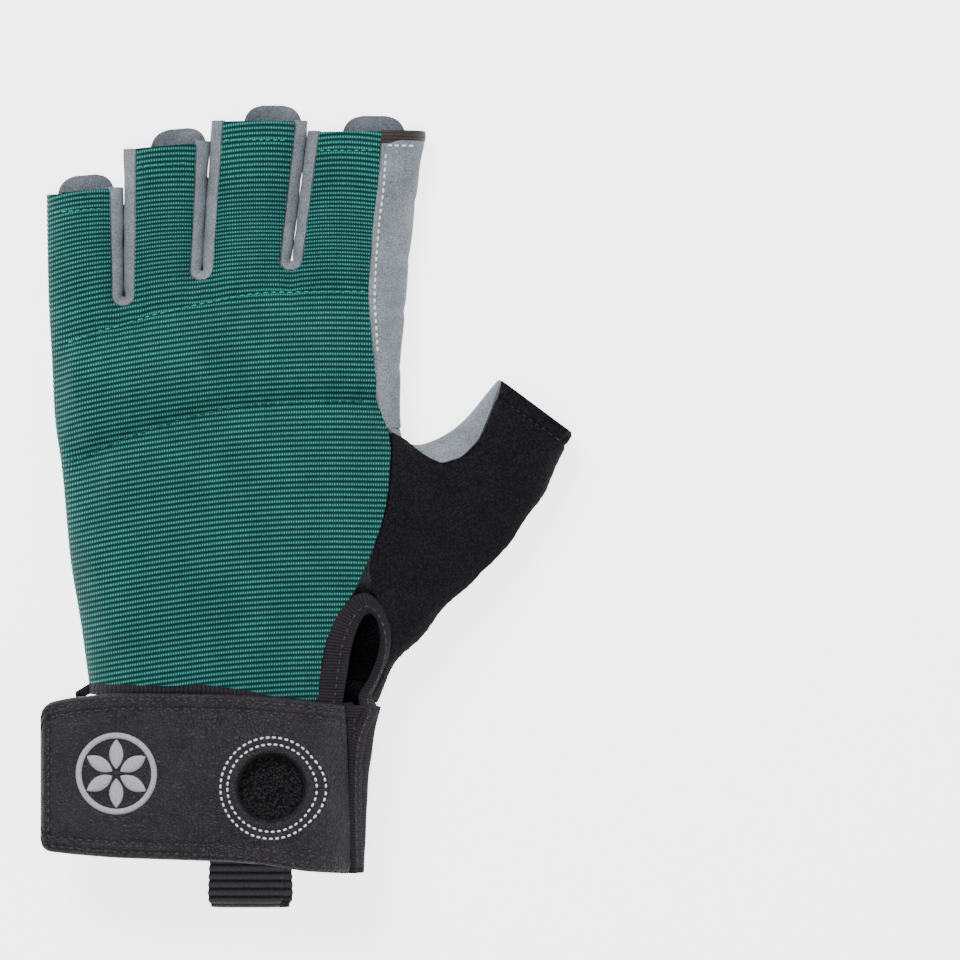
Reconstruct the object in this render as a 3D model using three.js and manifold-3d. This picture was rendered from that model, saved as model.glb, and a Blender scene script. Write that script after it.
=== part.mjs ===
// A left-hand half-finger climbing glove, lying palm down with its fingers along +Y and its thumb to +X.
// All lengths are millimetres. Tables hold shares of the named sizes that they follow.

import * as THREE from 'three';
import * as BufferGeometryUtils from 'three/addons/utils/BufferGeometryUtils.js';
import Module from 'manifold-3d';

// Driving dimensions
const handWidth = 91;
const backLength = 110;
const handHeight = 27;
const thumbLength = 60;
const thumbWidth = 22;
const thumbHeight = 16;
const thumbSpread = 35.5;
const littleLength = 19;
const ringLength = 30.6;
const middleLength = 38;
const indexLength = 35.3;
const backWall = 1.5;
const suedeWall = 1.1;
const knitWall = 1.5;
const seamGap = 0.35;
const fourchetteReveal = 2.3;
const slotGap = 0.35;
const frontShort = 3.5;
const tabLength = 8;
const hemWidth = 3;
const bindingWidth = 2.4;
const bindingWall = 1.7;
const cuffLength = 32;
const cuffWall = 1.6;
const loopPatchWall = 1.1;
const strapLength = 77.5;
const strapWidth = 42;
const strapWall = 2.4;
const clipHole = 16.5;
const anchorWall = 1.8;
const webbingWidth = 19.5;
const webbingWall = 1.4;
const webbingReach = 25.5;
const tapeWall = 0.9;
const tapeReach = 8.3;
const ulnarTapeWidth = 8;
const radialTapeWidth = 11;
const quiltDepth = 1.1;
const quiltPuff = 1.2;
const reliefStart = 1;
const reliefFull = 7;
const overlayReach = 12;
const ventClearance = 1.5;
const loopClearance = 0.2;

// Shares of the heights and radii
const seamShare = 0.46;
const underRoundShare = 0.62;
const thumbRound = thumbWidth * 0.46;
const crownShare = 0.2;

// Height of the glove and the radius of its rounded sides: up is a share of backLength from the hem,
// height and round are shares of handHeight, crown is the share of the full crown across the hand.
const heightTable = [
  { up: -0.5, height: 0.98, round: 0.5, crown: 1 },
  { up: 0, height: 1, round: 0.52, crown: 1 },
  { up: 0.27, height: 0.97, round: 0.56, crown: 0.8 },
  { up: 0.55, height: 0.87, round: 0.55, crown: 0.7 },
  { up: 0.77, height: 0.73, round: 0.45, crown: 0.5 },
  { up: 0.95, height: 0.57, round: 0.34, crown: 0.2 },
  { up: 1.1, height: 0.51, round: 0.33, crown: 0 },
  { up: 1.5, height: 0.46, round: 0.33, crown: 0 },
];

// Outer edge on the little finger's side: up in backLength, across in handWidth
const ulnarTable = [
  { up: -0.5, across: -0.33 },
  { up: -0.29, across: -0.345 },
  { up: -0.09, across: -0.378 },
  { up: 0.015, across: -0.392 },
  { up: 0.082, across: -0.403 },
  { up: 0.177, across: -0.419 },
  { up: 0.295, across: -0.445 },
  { up: 0.4, across: -0.457 },
  { up: 0.532, across: -0.471 },
  { up: 0.636, across: -0.493 },
  { up: 0.773, across: -0.5 },
  { up: 0.934, across: -0.514 },
  { up: 1.3, across: -0.52 },
];

// Outer edge on the index finger's side, from beyond the fingertip down to the crotch of the thumb
const radialTable = [
  { up: 1.42, across: 0.58 },
  { up: 1.3, across: 0.568 },
  { up: 1.253, across: 0.554 },
  { up: 1.182, across: 0.546 },
  { up: 1.111, across: 0.534 },
  { up: 1.04, across: 0.525 },
  { up: 0.969, across: 0.518 },
  { up: 0.898, across: 0.511 },
  { up: 0.827, across: 0.503 },
  { up: 0.755, across: 0.497 },
  { up: 0.685, across: 0.497 },
  { up: 0.614, across: 0.5 },
  { up: 0.591, across: 0.509 },
];

// Inner edge of the thumb from the crotch to beyond its end: along in thumbLength, aside in thumbWidth
const thumbInnerTable = [
  { along: 0.563, aside: -0.872 },
  { along: 0.604, aside: -0.769 },
  { along: 0.67, aside: -0.661 },
  { along: 0.747, aside: -0.587 },
  { along: 0.853, aside: -0.571 },
  { along: 0.922, aside: -0.549 },
  { along: 0.988, aside: -0.532 },
  { along: 1.2, aside: -0.5 },
];

// Outer edge of the thumb and the radial side of the wrist. The wrist rows are shares of the hand,
// the thumb rows are shares of the thumb.
const thumbOuterTable = [
  { along: 1.2, aside: 0.46 },
  { along: 0.996, aside: 0.502 },
  { along: 0.968, aside: 0.532 },
  { along: 0.934, aside: 0.568 },
  { along: 0.847, aside: 0.629 },
  { along: 0.755, aside: 0.669 },
  { along: 0.678, aside: 0.679 },
  { along: 0.616, aside: 0.683 },
  { along: 0.529, aside: 0.702 },
  { along: 0.444, aside: 0.716 },
  { along: 0.312, aside: 0.682 },
  { along: 0.143, aside: 0.559 },
];
const wristOuterTable = [
  { up: 0.173, across: 0.599 },
  { up: 0.117, across: 0.545 },
  { up: 0.047, across: 0.47 },
  { up: -0.017, across: 0.438 },
  { up: -0.071, across: 0.418 },
  { up: -0.165, across: 0.4 },
  { up: -0.307, across: 0.389 },
  { up: -0.5, across: 0.38 },
];

// Slots between the fingers: the centre of the round bottom and the centre line beyond the fingertips
const slotTable = [
  { name: 'little_ring', up: 0.934, across: -0.2945, tipUp: 1.36, tipAcross: -0.298, tipGap: 1.1 },
  { name: 'ring_middle', up: 0.995, across: -0.0703, tipUp: 1.42, tipAcross: -0.0412, tipGap: 0.8 },
  { name: 'middle_index', up: 1.018, across: 0.1863, tipUp: 1.42, tipAcross: 0.2445, tipGap: 0.7 },
];

// Fingers from the little finger to the index: length beyond backLength, slope of the open end, and the
// middle and width of the tab in handWidth
const fingerTable = [
  { name: 'little', length: littleLength, slant: 0.08, tabAcross: -0.409, tabWidth: 0.166 },
  { name: 'ring', length: ringLength, slant: 0.09, tabAcross: -0.143, tabWidth: 0.165 },
  { name: 'middle', length: middleLength, slant: 0, tabAcross: 0.129, tabWidth: 0.171 },
  { name: 'index', length: indexLength, slant: 0, tabAcross: 0.42, tabWidth: 0.185 },
];

// Boundary between the green back and the side pieces, from the index fingertip to the wrist slit
const backEdgeTable = [
  { up: 1.36, across: 0.45 },
  { up: 1.32, across: 0.448 },
  { up: 1.182, across: 0.437 },
  { up: 1.11, across: 0.425 },
  { up: 1.04, across: 0.418 },
  { up: 0.945, across: 0.411 },
  { up: 0.875, across: 0.414 },
  { up: 0.804, across: 0.42 },
  { up: 0.745, across: 0.429 },
  { up: 0.685, across: 0.44 },
  { up: 0.591, across: 0.475 },
  { up: 0.579, across: 0.475 },
  { up: 0.496, across: 0.471 },
  { up: 0.437, across: 0.463 },
  { up: 0.366, across: 0.44 },
  { up: 0.295, across: 0.405 },
  { up: 0.228, across: 0.372 },
  { up: 0.182, across: 0.323 },
  { up: 0.11, across: 0.289 },
  { up: 0.036, across: 0.275 },
  { up: -0.05, across: 0.268 },
];

// Curves of the hem and of the two quilting seams across the back: up in backLength, across in handWidth
const hemCurve = [
  { across: -0.5, up: 0.012 },
  { across: -0.05, up: 0.014 },
  { across: 0.3, up: -0.031 },
];
const lowerQuiltCurve = [
  { across: -0.48, up: 0.525 },
  { across: -0.275, up: 0.598 },
  { across: -0.075, up: 0.652 },
  { across: 0.068, up: 0.674 },
  { across: 0.48, up: 0.687 },
];
const upperQuiltCurve = [
  { across: -0.5, up: 0.806 },
  { across: -0.389, up: 0.839 },
  { across: -0.275, up: 0.872 },
  { across: -0.075, up: 0.912 },
  { across: 0.097, up: 0.94 },
  { across: 0.45, up: 0.942 },
];

// Rows of the back: whole numbers are the hem, the lower seam, the upper seam and the finger roots
const backRows = [0, 0.14, 0.3, 0.47, 0.64, 0.8, 0.93, 1, 1.15, 1.45, 1.75, 1.92, 2, 2.3, 2.65, 3];
const fingerRows = [0.2, 0.4, 0.6, 0.8, 1];
const palmRows = [0, 0.1, 0.205, 0.245, 0.345, 0.45, 0.545, 0.6, 0.7, 0.8, 0.9, 1];

// Left and right edge of the bound wrist slit: outer is the edge sewn to the glove, inner is the opening
const ventTable = [
  { outerAcross: 0.268, outerUp: -0.029, innerAcross: 0.333, innerUp: -0.033 },
  { outerAcross: 0.275, outerUp: 0.036, innerAcross: 0.347, innerUp: 0.036 },
  { outerAcross: 0.289, outerUp: 0.11, innerAcross: 0.36, innerUp: 0.106 },
  { outerAcross: 0.323, outerUp: 0.182, innerAcross: 0.38, innerUp: 0.156 },
  { outerAcross: 0.372, outerUp: 0.226, innerAcross: 0.402, innerUp: 0.184 },
  { outerAcross: 0.422, outerUp: 0.227, innerAcross: 0.424, innerUp: 0.182 },
  { outerAcross: 0.463, outerUp: 0.173, innerAcross: 0.442, innerUp: 0.15 },
  { outerAcross: 0.473, outerUp: 0.114, innerAcross: 0.449, innerUp: 0.1 },
  { outerAcross: 0.452, outerUp: 0.046, innerAcross: 0.428, innerUp: 0.036 },
  { outerAcross: 0.412, outerUp: -0.016, innerAcross: 0.387, innerUp: -0.014 },
];

// Rows of the black panel from the wrist to the thumb's end. The edge is a row of thumbOuterTable or
// wristOuterTable, wrap is how far the panel reaches round it underneath, in thumbWidth, and rise is the
// slope of that row underneath where it isn't the row's own.
const thumbSeamRows = [
  { up: -0.016, across: 0.412, wrap: 0.8, rise: 0.42 },
  { up: 0.046, across: 0.452, wrap: 0.68, rise: 0.36 },
  { up: 0.114, across: 0.473, wrap: 0.69, rise: 0.3 },
  { up: 0.173, across: 0.463, wrap: 0.68, rise: 0.24 },
  { up: 0.227, across: 0.422, wrap: 0.73, rise: 0.18 },
  { up: 0.295, across: 0.405, wrap: 0.64 },
  { up: 0.366, across: 0.44, wrap: 0.55 },
  { up: 0.455, across: 0.467, wrap: 0.5 },
  { up: 0.545, across: 0.475, wrap: 0.48 },
  { up: 0.567, across: 0.532, wrap: 0.45 },
  { up: 0.532, across: 0.609, wrap: 0.43 },
  { up: 0.548, across: 0.675, wrap: 0.4 },
  { up: 0.591, across: 0.725, wrap: 0.36 },
  { up: 0.666, across: 0.76, wrap: 0.33 },
  { up: 0.733, across: 0.786, wrap: 0.32 },
];

// Edge of the suede overlay on the palm, from the crotch to the index fingertip: across in handWidth
const overlayTable = [
  { up: 0.63, across: 0.154 },
  { up: 0.682, across: 0.112 },
  { up: 0.731, across: 0.1 },
  { up: 0.782, across: 0.119 },
  { up: 0.827, across: 0.176 },
  { up: 0.864, across: 0.27 },
  { up: 0.9, across: 0.352 },
  { up: 0.945, across: 0.418 },
  { up: 0.99, across: 0.455 },
  { up: 1.05, across: 0.495 },
  { up: 1.15, across: 0.512 },
  { up: 1.29, across: 0.532 },
];

// Left end, top and bottom of the closing strap, in strapLength and strapWidth
const strapTable = [
  { along: 0, low: 0.1, high: 0.86 },
  { along: 0.035, low: 0.025, high: 0.94 },
  { along: 0.1, low: 0.01, high: 0.975 },
  { along: 0.25, low: -0.01, high: 1.0 },
  { along: 0.45, low: -0.02, high: 1.0 },
  { along: 0.62, low: -0.03, high: 0.995 },
  { along: 0.75, low: -0.05, high: 0.98 },
  { along: 0.88, low: -0.09, high: 0.96 },
  { along: 1, low: -0.11, high: 0.93 },
];
const strapRight = 0.33;
const strapBase = -0.385;
const clipAlong = 0.772;
const clipUp = 0.463;

const colours = {
  green: 0x27625f,
  suede: 0x8a9299,
  tab: 0x757c86,
  black: 0x242226,
  leather: 0x38373b,
  webbing: 0x2b2a2e,
  hem: 0x3a3634,
};

const wasm = await Module();
wasm.setup();

// Interpolation in a table by one of its columns
function lookUp(table, key, value, column) {
  const rising = table[0][key] < table[table.length - 1][key];
  const rows = rising ? table : [...table].reverse();
  if (value <= rows[0][key]) return rows[0][column];
  for (let i = 1; i < rows.length; i += 1) {
    if (value <= rows[i][key]) {
      const share = (value - rows[i - 1][key]) / (rows[i][key] - rows[i - 1][key]);
      return THREE.MathUtils.lerp(rows[i - 1][column], rows[i][column], share);
    }
  }
  return rows[rows.length - 1][column];
}

function handPoint(row) {
  return new THREE.Vector2(row.across * handWidth, row.up * backLength);
}

const thumbAxis = new THREE.Vector2(
  Math.sin(THREE.MathUtils.degToRad(thumbSpread)),
  Math.cos(THREE.MathUtils.degToRad(thumbSpread)),
);
const thumbSide = new THREE.Vector2(thumbAxis.y, -thumbAxis.x);
const thumbRoot = handPoint({ across: 0.5, up: 0.229 });

function thumbPoint(row) {
  return thumbRoot
    .clone()
    .addScaledVector(thumbAxis, row.along * thumbLength)
    .addScaledVector(thumbSide, row.aside * thumbWidth);
}

function thumbPlace(point) {
  const away = point.clone().sub(thumbRoot);
  return { along: away.dot(thumbAxis) / thumbLength, aside: away.dot(thumbSide) / thumbWidth };
}

// Centre and half gap of a slot at height y
function slotAt(slot, y) {
  const bottom = slot.up * backLength;
  const share = Math.max(0, (y - bottom) / (slot.tipUp * backLength - bottom));
  const centre = THREE.MathUtils.lerp(slot.across, slot.tipAcross, share) * handWidth;
  return { centre, half: THREE.MathUtils.lerp(slotGap, slot.tipGap, share) };
}

// Outline of one slot, down one finger and up the next, at a distance from the slot's faces
function slotPath(slot, away, top, legSteps, turnSteps) {
  const bottom = slot.up * backLength;
  const points = [];
  for (let i = 0; i < legSteps; i += 1) {
    const y = THREE.MathUtils.lerp(top.left, bottom, i / legSteps);
    const { centre, half } = slotAt(slot, y);
    points.push(new THREE.Vector2(centre - half - away, y));
  }
  const middle = slot.across * handWidth;
  for (let i = 0; i <= turnSteps; i += 1) {
    const angle = Math.PI * (1 + i / turnSteps);
    const reach = slotGap + away;
    points.push(new THREE.Vector2(middle + reach * Math.cos(angle), bottom + reach * Math.sin(angle)));
  }
  for (let i = 1; i <= legSteps; i += 1) {
    const y = THREE.MathUtils.lerp(bottom, top.right, i / legSteps);
    const { centre, half } = slotAt(slot, y);
    points.push(new THREE.Vector2(centre + half + away, y));
  }
  return points;
}

// The plan outline as open lines, each with the glove on its right-hand side
const outline = [
  ulnarTable.map(handPoint),
  ...slotTable.map((slot) => {
    const top = slot.tipUp * backLength;
    return slotPath(slot, 0, { left: top, right: top }, 1, 4);
  }),
  [...radialTable.map(handPoint), ...thumbInnerTable.map(thumbPoint)],
  [...thumbOuterTable.map(thumbPoint), ...wristOuterTable.map(handPoint)],
];

// Points nearer to the outline than this take its own direction
const onEdge = 0.3;

// Nearest point of the outline: its distance and the direction out of the glove
function nearestEdge(x, y) {
  const point = new THREE.Vector3(x, y, 0);
  const segment = new THREE.Line3();
  const nearest = new THREE.Vector3();
  let best = { inset: Infinity, out: new THREE.Vector2() };
  outline.forEach((line) => {
    for (let i = 1; i < line.length; i += 1) {
      segment.start.set(line[i - 1].x, line[i - 1].y, 0);
      segment.end.set(line[i].x, line[i].y, 0);
      segment.closestPointToPoint(point, true, nearest);
      const inset = nearest.distanceTo(point);
      if (inset < best.inset) {
        const along = segment.delta(new THREE.Vector3()).normalize();
        const out = new THREE.Vector2(-along.y, along.x);
        if (inset > onEdge) out.set(nearest.x - x, nearest.y - y).normalize();
        best = { inset, out };
      }
    }
  });
  return best;
}

function thumbWeight(x, y) {
  const place = thumbPlace(new THREE.Vector2(x, y));
  const along = THREE.MathUtils.smoothstep(place.along, 0.25, 0.8);
  const aside = THREE.MathUtils.smoothstep(place.aside, -1.1, -0.6);
  return along * aside;
}

function crownAt(x, y) {
  const share = lookUp(heightTable, 'up', y / backLength, 'crown') * crownShare * handHeight;
  return share * (x / (handWidth / 2)) ** 2;
}

// Relief of the quilted knuckles, by the row of the back that a point lies on
function backRow(x, y) {
  const across = x / handWidth;
  const up = y / backLength;
  const hem = lookUp(hemCurve, 'across', across, 'up');
  const lower = lookUp(lowerQuiltCurve, 'across', across, 'up');
  const upper = lookUp(upperQuiltCurve, 'across', across, 'up');
  if (up < lower) return (up - hem) / (lower - hem);
  return 1 + (up - lower) / (upper - lower);
}

function quiltRelief(x, y) {
  const row = backRow(x, y);
  const lowerSeam = Math.exp(-(((row - 1) / 0.07) ** 2));
  const upperSeam = Math.exp(-(((row - 2) / 0.12) ** 2));
  const puff = row > 1 && row < 2 ? Math.sin(Math.PI * (row - 1)) : 0;
  return quiltPuff * puff - quiltDepth * (lowerSeam + 0.6 * upperSeam);
}

function topHeight(x, y) {
  const hand = lookUp(heightTable, 'up', y / backLength, 'height') * handHeight - crownAt(x, y);
  return THREE.MathUtils.lerp(hand, thumbHeight, thumbWeight(x, y));
}

function seamHeight(x, y) {
  const hand = lookUp(heightTable, 'up', y / backLength, 'height') * handHeight;
  return seamShare * THREE.MathUtils.lerp(hand, thumbHeight, thumbWeight(x, y));
}

function roundAt(x, y, side) {
  const hand = lookUp(heightTable, 'up', y / backLength, 'round') * handHeight;
  const radius = THREE.MathUtils.lerp(hand, thumbRound, thumbWeight(x, y));
  return side > 0 ? radius : radius * underRoundShare;
}

// The webbing and tapes lie under the cuff, so its underside is raised by their thickness
function floorHeight(y) {
  const share = THREE.MathUtils.smoothstep(-y, -0.09 * backLength, -0.045 * backLength);
  return (webbingWall + seamGap) * share;
}

// Signed distance that a point of the palm lies inside the overlay
function overlayDepth(x, y) {
  const up = y / backLength;
  const start = overlayTable[0].up;
  if (up > overlayTable[overlayTable.length - 1].up) return 0;
  const edge = lookUp(overlayTable, 'up', Math.max(up, start), 'across') * handWidth;
  return Math.min(x - edge, y - start * backLength);
}

// The palm is pressed in by the overlay that is sewn over it
function overlayRelief(x, y) {
  const reach = THREE.MathUtils.smoothstep(overlayDepth(x, y), -overlayReach, -overlayReach / 2);
  return (suedeWall + 2 * seamGap) * reach;
}

// Outer surface of the glove over a point of the plan: side is 1 for the back and -1 for the palm
function skin(x, y, side) {
  const { inset, out } = nearestEdge(x, y);
  const radius = roundAt(x, y, side);
  const cosine = 1 - Math.min(inset / radius, 1);
  const sine = Math.sqrt(1 - cosine * cosine);
  const seam = seamHeight(x, y);
  const reach = side > 0 ? topHeight(x, y) - seam : seam - floorHeight(y);
  const slope = (cosine * reach) / radius;
  const normal = new THREE.Vector3(out.x * slope, out.y * slope, side * sine).normalize();
  return { point: new THREE.Vector3(x, y, seam + side * reach * sine), normal };
}

function backSkin(x, y) {
  const spot = skin(x, y, 1);
  const { inset } = nearestEdge(x, y);
  spot.point.z += quiltRelief(x, y) * THREE.MathUtils.smoothstep(inset, reliefStart, reliefFull);
  return spot;
}

function palmSkin(x, y) {
  const spot = skin(x, y, -1);
  spot.point.addScaledVector(spot.normal, -overlayRelief(x, y));
  return spot;
}

// A closed sheet of even thickness from rows of spots. Cells whose mask is false are left open.
function sheet(rows, wall, mask = () => true) {
  const height = rows.length;
  const width = rows[0].length;
  const positions = [];
  const indices = [];
  const place = (layer, r, c) => (layer * height + r) * width + c;
  [0, 1].forEach((layer) => {
    rows.forEach((row) => {
      row.forEach((spot) => {
        const point = new THREE.Vector3();
        if (spot) point.copy(spot.point).addScaledVector(spot.normal, -wall * layer);
        positions.push(point.x, point.y, point.z);
      });
    });
  });
  const solid = (r, c) => r >= 0 && c >= 0 && r < height - 1 && c < width - 1 && mask(r, c);
  const quad = (a, b, c, d) => indices.push(a, b, c, a, c, d);
  for (let r = 0; r < height - 1; r += 1) {
    for (let c = 0; c < width - 1; c += 1) {
      if (solid(r, c)) {
        quad(place(0, r, c), place(0, r, c + 1), place(0, r + 1, c + 1), place(0, r + 1, c));
        quad(place(1, r, c), place(1, r + 1, c), place(1, r + 1, c + 1), place(1, r, c + 1));
        if (!solid(r - 1, c)) quad(place(0, r, c), place(1, r, c), place(1, r, c + 1), place(0, r, c + 1));
        if (!solid(r + 1, c)) {
          quad(place(0, r + 1, c + 1), place(1, r + 1, c + 1), place(1, r + 1, c), place(0, r + 1, c));
        }
        if (!solid(r, c - 1)) quad(place(0, r + 1, c), place(1, r + 1, c), place(1, r, c), place(0, r, c));
        if (!solid(r, c + 1)) {
          quad(place(0, r, c + 1), place(1, r, c + 1), place(1, r + 1, c + 1), place(0, r + 1, c + 1));
        }
      }
    }
  }
  const geometry = new THREE.BufferGeometry();
  geometry.setAttribute('position', new THREE.Float32BufferAttribute(positions, 3));
  geometry.setIndex(insideVolume(positions, indices) > 0 ? indices : indices.reverse());
  return compact(geometry);
}

// Volume inside a closed surface, negative where its faces point inwards
function insideVolume(positions, indices) {
  const corner = (i) => new THREE.Vector3().fromArray(positions, 3 * indices[i]);
  let volume = 0;
  for (let i = 0; i < indices.length; i += 3) {
    volume += corner(i).dot(corner(i + 1).cross(corner(i + 2))) / 6;
  }
  return volume;
}

// Shares the vertices of neighbouring faces and drops those that no face uses
function compact(geometry) {
  const plain = geometry.index ? geometry.toNonIndexed() : geometry.clone();
  plain.deleteAttribute('normal');
  plain.deleteAttribute('uv');
  return BufferGeometryUtils.mergeVertices(plain, 1e-5);
}

function toSolid(geometry) {
  const merged = compact(geometry);
  return new wasm.Manifold(
    new wasm.Mesh({
      numProp: 3,
      vertProperties: new Float32Array(merged.attributes.position.array),
      triVerts: new Uint32Array(merged.index.array),
    }),
  );
}

function fromSolid(solid) {
  const mesh = solid.getMesh();
  const geometry = new THREE.BufferGeometry();
  geometry.setAttribute('position', new THREE.BufferAttribute(new Float32Array(mesh.vertProperties), 3));
  geometry.setIndex(new THREE.BufferAttribute(new Uint32Array(mesh.triVerts), 1));
  return geometry;
}

function piece(name, geometry, colour, roughness) {
  const material = new THREE.MeshStandardMaterial({ color: colour, roughness, metalness: 0 });
  const mesh = new THREE.Mesh(geometry, material);
  mesh.name = name;
  return mesh;
}

const point2 = (x, y) => new THREE.Vector2(x, y);
const mix = (a, b, share) => a.clone().lerp(b, share);

// Plan distance from the side at which the rounded side has turned by an angle in degrees
function turnInset(x, y, side, angle) {
  return roundAt(x, y, side) * (1 - Math.cos(THREE.MathUtils.degToRad(angle)));
}

// Edge x of the little finger's side and of the index side at height y
const ulnarEdge = (y) => lookUp(ulnarTable, 'up', y / backLength, 'across') * handWidth;
const radialEdge = (y) => lookUp(radialTable, 'up', y / backLength, 'across') * handWidth;
const backEdge = (y) => lookUp(backEdgeTable, 'up', y / backLength, 'across') * handWidth;
const ulnarSeamTurn = 35;

// Open end of a finger at a place x, for a shortening of the front
function fingerEnd(finger, index, x, short) {
  const left = index === 0 ? ulnarEdge(backLength) : slotTable[index - 1].tipAcross * handWidth;
  return backLength + finger.length + finger.slant * (x - left) - short;
}

// Rows of a panel with four half-fingers. The columns run from the little finger's side to the index side:
// the turned-in side, then each finger's cells and the cells of the slot beside it.
const fingerCells = 5;
const slotCells = 4;

function handGrid(options) {
  const { rows, curveAt, rightEdge, surface, turns, side, reveal, short } = options;
  const slots = slotTable.map((slot) =>
    slotPath(slot, reveal, { left: slot.up * backLength + 1, right: slot.up * backLength + 1 }, 1, slotCells),
  );
  const arcs = slots.map((path) => path.slice(1, slotCells + 2));
  const rootHeight = slotTable[0].up * backLength;
  const columns = [];
  const ulnarRoot = point2(ulnarEdge(rootHeight), rootHeight);
  turns.forEach((angle) => columns.push({ finger: 0, turn: angle, root: ulnarRoot }));
  fingerTable.forEach((finger, index) => {
    const start = index === 0 ? null : arcs[index - 1][slotCells];
    const lastHeight = slotTable[2].up * backLength;
    const end = index === 3 ? point2(rightEdge(lastHeight), lastHeight) : arcs[index][0];
    for (let i = index === 0 ? 1 : 0; i <= fingerCells; i += 1) {
      const share = i / fingerCells;
      const first = turns[turns.length - 1];
      const inset = turnInset(0, rootHeight, side, first);
      const from = start ?? point2(ulnarEdge(rootHeight) + inset, rootHeight);
      columns.push({ finger: index, share, root: mix(from, end, share) });
    }
    if (index < 3) {
      for (let i = 1; i < slotCells; i += 1) columns.push({ slot: index, root: arcs[index][i] });
    }
  });
  const leftRoot = ulnarEdge(rootHeight);
  const rightRoot = columns[columns.length - 1].root.x;
  const turnRoot = turnInset(0, rootHeight, side, turns[turns.length - 1]);
  const turnedSpot = (column, y) => {
    const left = ulnarEdge(y);
    return point2(left + turnInset(left, y, column.turn < 0 ? -side : side, Math.abs(column.turn)), y);
  };
  const bodySpot = (row, column) => {
    const rootShare = (column.root.x - leftRoot - turnRoot) / (rightRoot - leftRoot - turnRoot);
    const guess = point2(column.root.x, column.root.y);
    for (let pass = 0; pass < 4; pass += 1) {
      guess.y = curveAt(row, guess.x, column.root.y);
      const turned = turnedSpot({ turn: turns[turns.length - 1] }, guess.y).x;
      guess.x = THREE.MathUtils.lerp(turned, rightEdge(guess.y), rootShare);
      if (column.turn !== undefined) guess.x = turnedSpot(column, guess.y).x;
    }
    return guess;
  };
  const fingerSpot = (share, column) => {
    const index = column.finger;
    const finger = fingerTable[index];
    const reach = (root) => THREE.MathUtils.lerp(root.y, fingerEnd(finger, index, root.x, short), share);
    const y = reach(column.root);
    if (column.turn !== undefined) return turnedSpot(column, y);
    const ulnarSide = ulnarEdge(y) + turnInset(0, y, side, turns[turns.length - 1]);
    const left = index === 0 ? ulnarSide : slotLine(index - 1, y, 1, reveal);
    const right = index === 3 ? rightEdge(y) : slotLine(index, y, -1, reveal);
    return point2(THREE.MathUtils.lerp(left, right, column.share), y);
  };
  const cover = (spot, column) => {
    if (column.turn !== undefined && column.turn < 0) return skin(spot.x, spot.y, -side);
    return surface(spot.x, spot.y);
  };
  const grid = rows.map((row) => columns.map((column) => cover(bodySpot(row, column), column)));
  fingerRows.forEach((share) => {
    const spotOf = (column) => (column.slot === undefined ? cover(fingerSpot(share, column), column) : null);
    grid.push(columns.map(spotOf));
  });
  const mask = (r, c) => {
    if (r < rows.length - 1) return true;
    const inFingers = columns[c].slot === undefined && columns[c + 1].slot === undefined;
    return inFingers && columns[c].finger === columns[c + 1].finger;
  };
  return { grid, mask };
}

function slotLine(index, y, direction, reveal) {
  const { centre, half } = slotAt(slotTable[index], y);
  return centre + direction * (half + reveal);
}

// Height of a row of the back, from the hem through the quilting seams to the finger roots
function backCurve(row, x, rootUp) {
  const across = x / handWidth;
  const levels = [
    lookUp(hemCurve, 'across', across, 'up') * backLength,
    lookUp(lowerQuiltCurve, 'across', across, 'up') * backLength,
    lookUp(upperQuiltCurve, 'across', across, 'up') * backLength,
    rootUp,
  ];
  const step = Math.min(Math.floor(row), 2);
  return THREE.MathUtils.lerp(levels[step], levels[step + 1], row - step);
}

const palmHem = 0.055;
const backTurns = [-ulnarSeamTurn, 0, 30, 58];
const palmTurns = [ulnarSeamTurn + 8, 62, 90];

function palmCurve(row, x, rootUp) {
  return THREE.MathUtils.lerp(palmHem * backLength, rootUp, row);
}

function backPanel() {
  const { grid, mask } = handGrid({
    rows: backRows,
    curveAt: backCurve,
    rightEdge: (y) => backEdge(y) - seamGap,
    surface: backSkin,
    turns: backTurns,
    side: 1,
    reveal: fourchetteReveal + seamGap,
    short: 0,
  });
  return piece('back_panel', sheet(grid, backWall, mask), colours.green, 0.85);
}

// Edges of the black panel: the row's seam on the back, its outer edge and its turned-under seam
const outerEdge = [...thumbOuterTable].reverse().map(thumbPoint);
const thumbEdges = [...[...wristOuterTable].reverse().slice(-4).map(handPoint), ...outerEdge.slice(0, -1)];

// A line of plan points moved sideways, to the right of its direction where away is positive
function offsetLine(points, away) {
  return points.map((point, index) => {
    const before = points[Math.max(index - 1, 0)];
    const after = points[Math.min(index + 1, points.length - 1)];
    const along = after.clone().sub(before).normalize();
    return point2(point.x + along.y * away, point.y - along.x * away);
  });
}

const thumbSeamLine = thumbSeamRows.map(handPoint);

function blackRows() {
  return thumbEdges.map((edge, index) => {
    const seam = thumbSeamLine[index];
    const inward = seam.clone().sub(edge).normalize();
    const { wrap, rise } = thumbSeamRows[index];
    const under = rise === undefined ? inward : point2(-1, rise).normalize();
    return { edge, under: edge.clone().addScaledVector(under, wrap * thumbWidth) };
  });
}

// Plan points from an outer edge inwards, closer together where the side turns over
function fromEdge(edge, inner, side, cells) {
  const length = inner.distanceTo(edge);
  const radius = roundAt(edge.x, edge.y, side);
  const turned = Math.min(length, radius);
  const last = Math.acos(1 - turned / radius);
  const turnCells = length > radius ? Math.ceil(cells / 2) : cells;
  const points = [];
  for (let i = 1; i <= turnCells; i += 1) {
    const inset = radius * (1 - Math.cos((last * i) / turnCells));
    points.push(mix(edge, inner, inset / length));
  }
  for (let i = 1; i <= cells - turnCells; i += 1) {
    const inset = THREE.MathUtils.lerp(radius, length, i / (cells - turnCells));
    points.push(mix(edge, inner, inset / length));
  }
  return points;
}

const onBack = (point) => skin(point.x, point.y, 1);
const onPalm = (point) => skin(point.x, point.y, -1);

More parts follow.
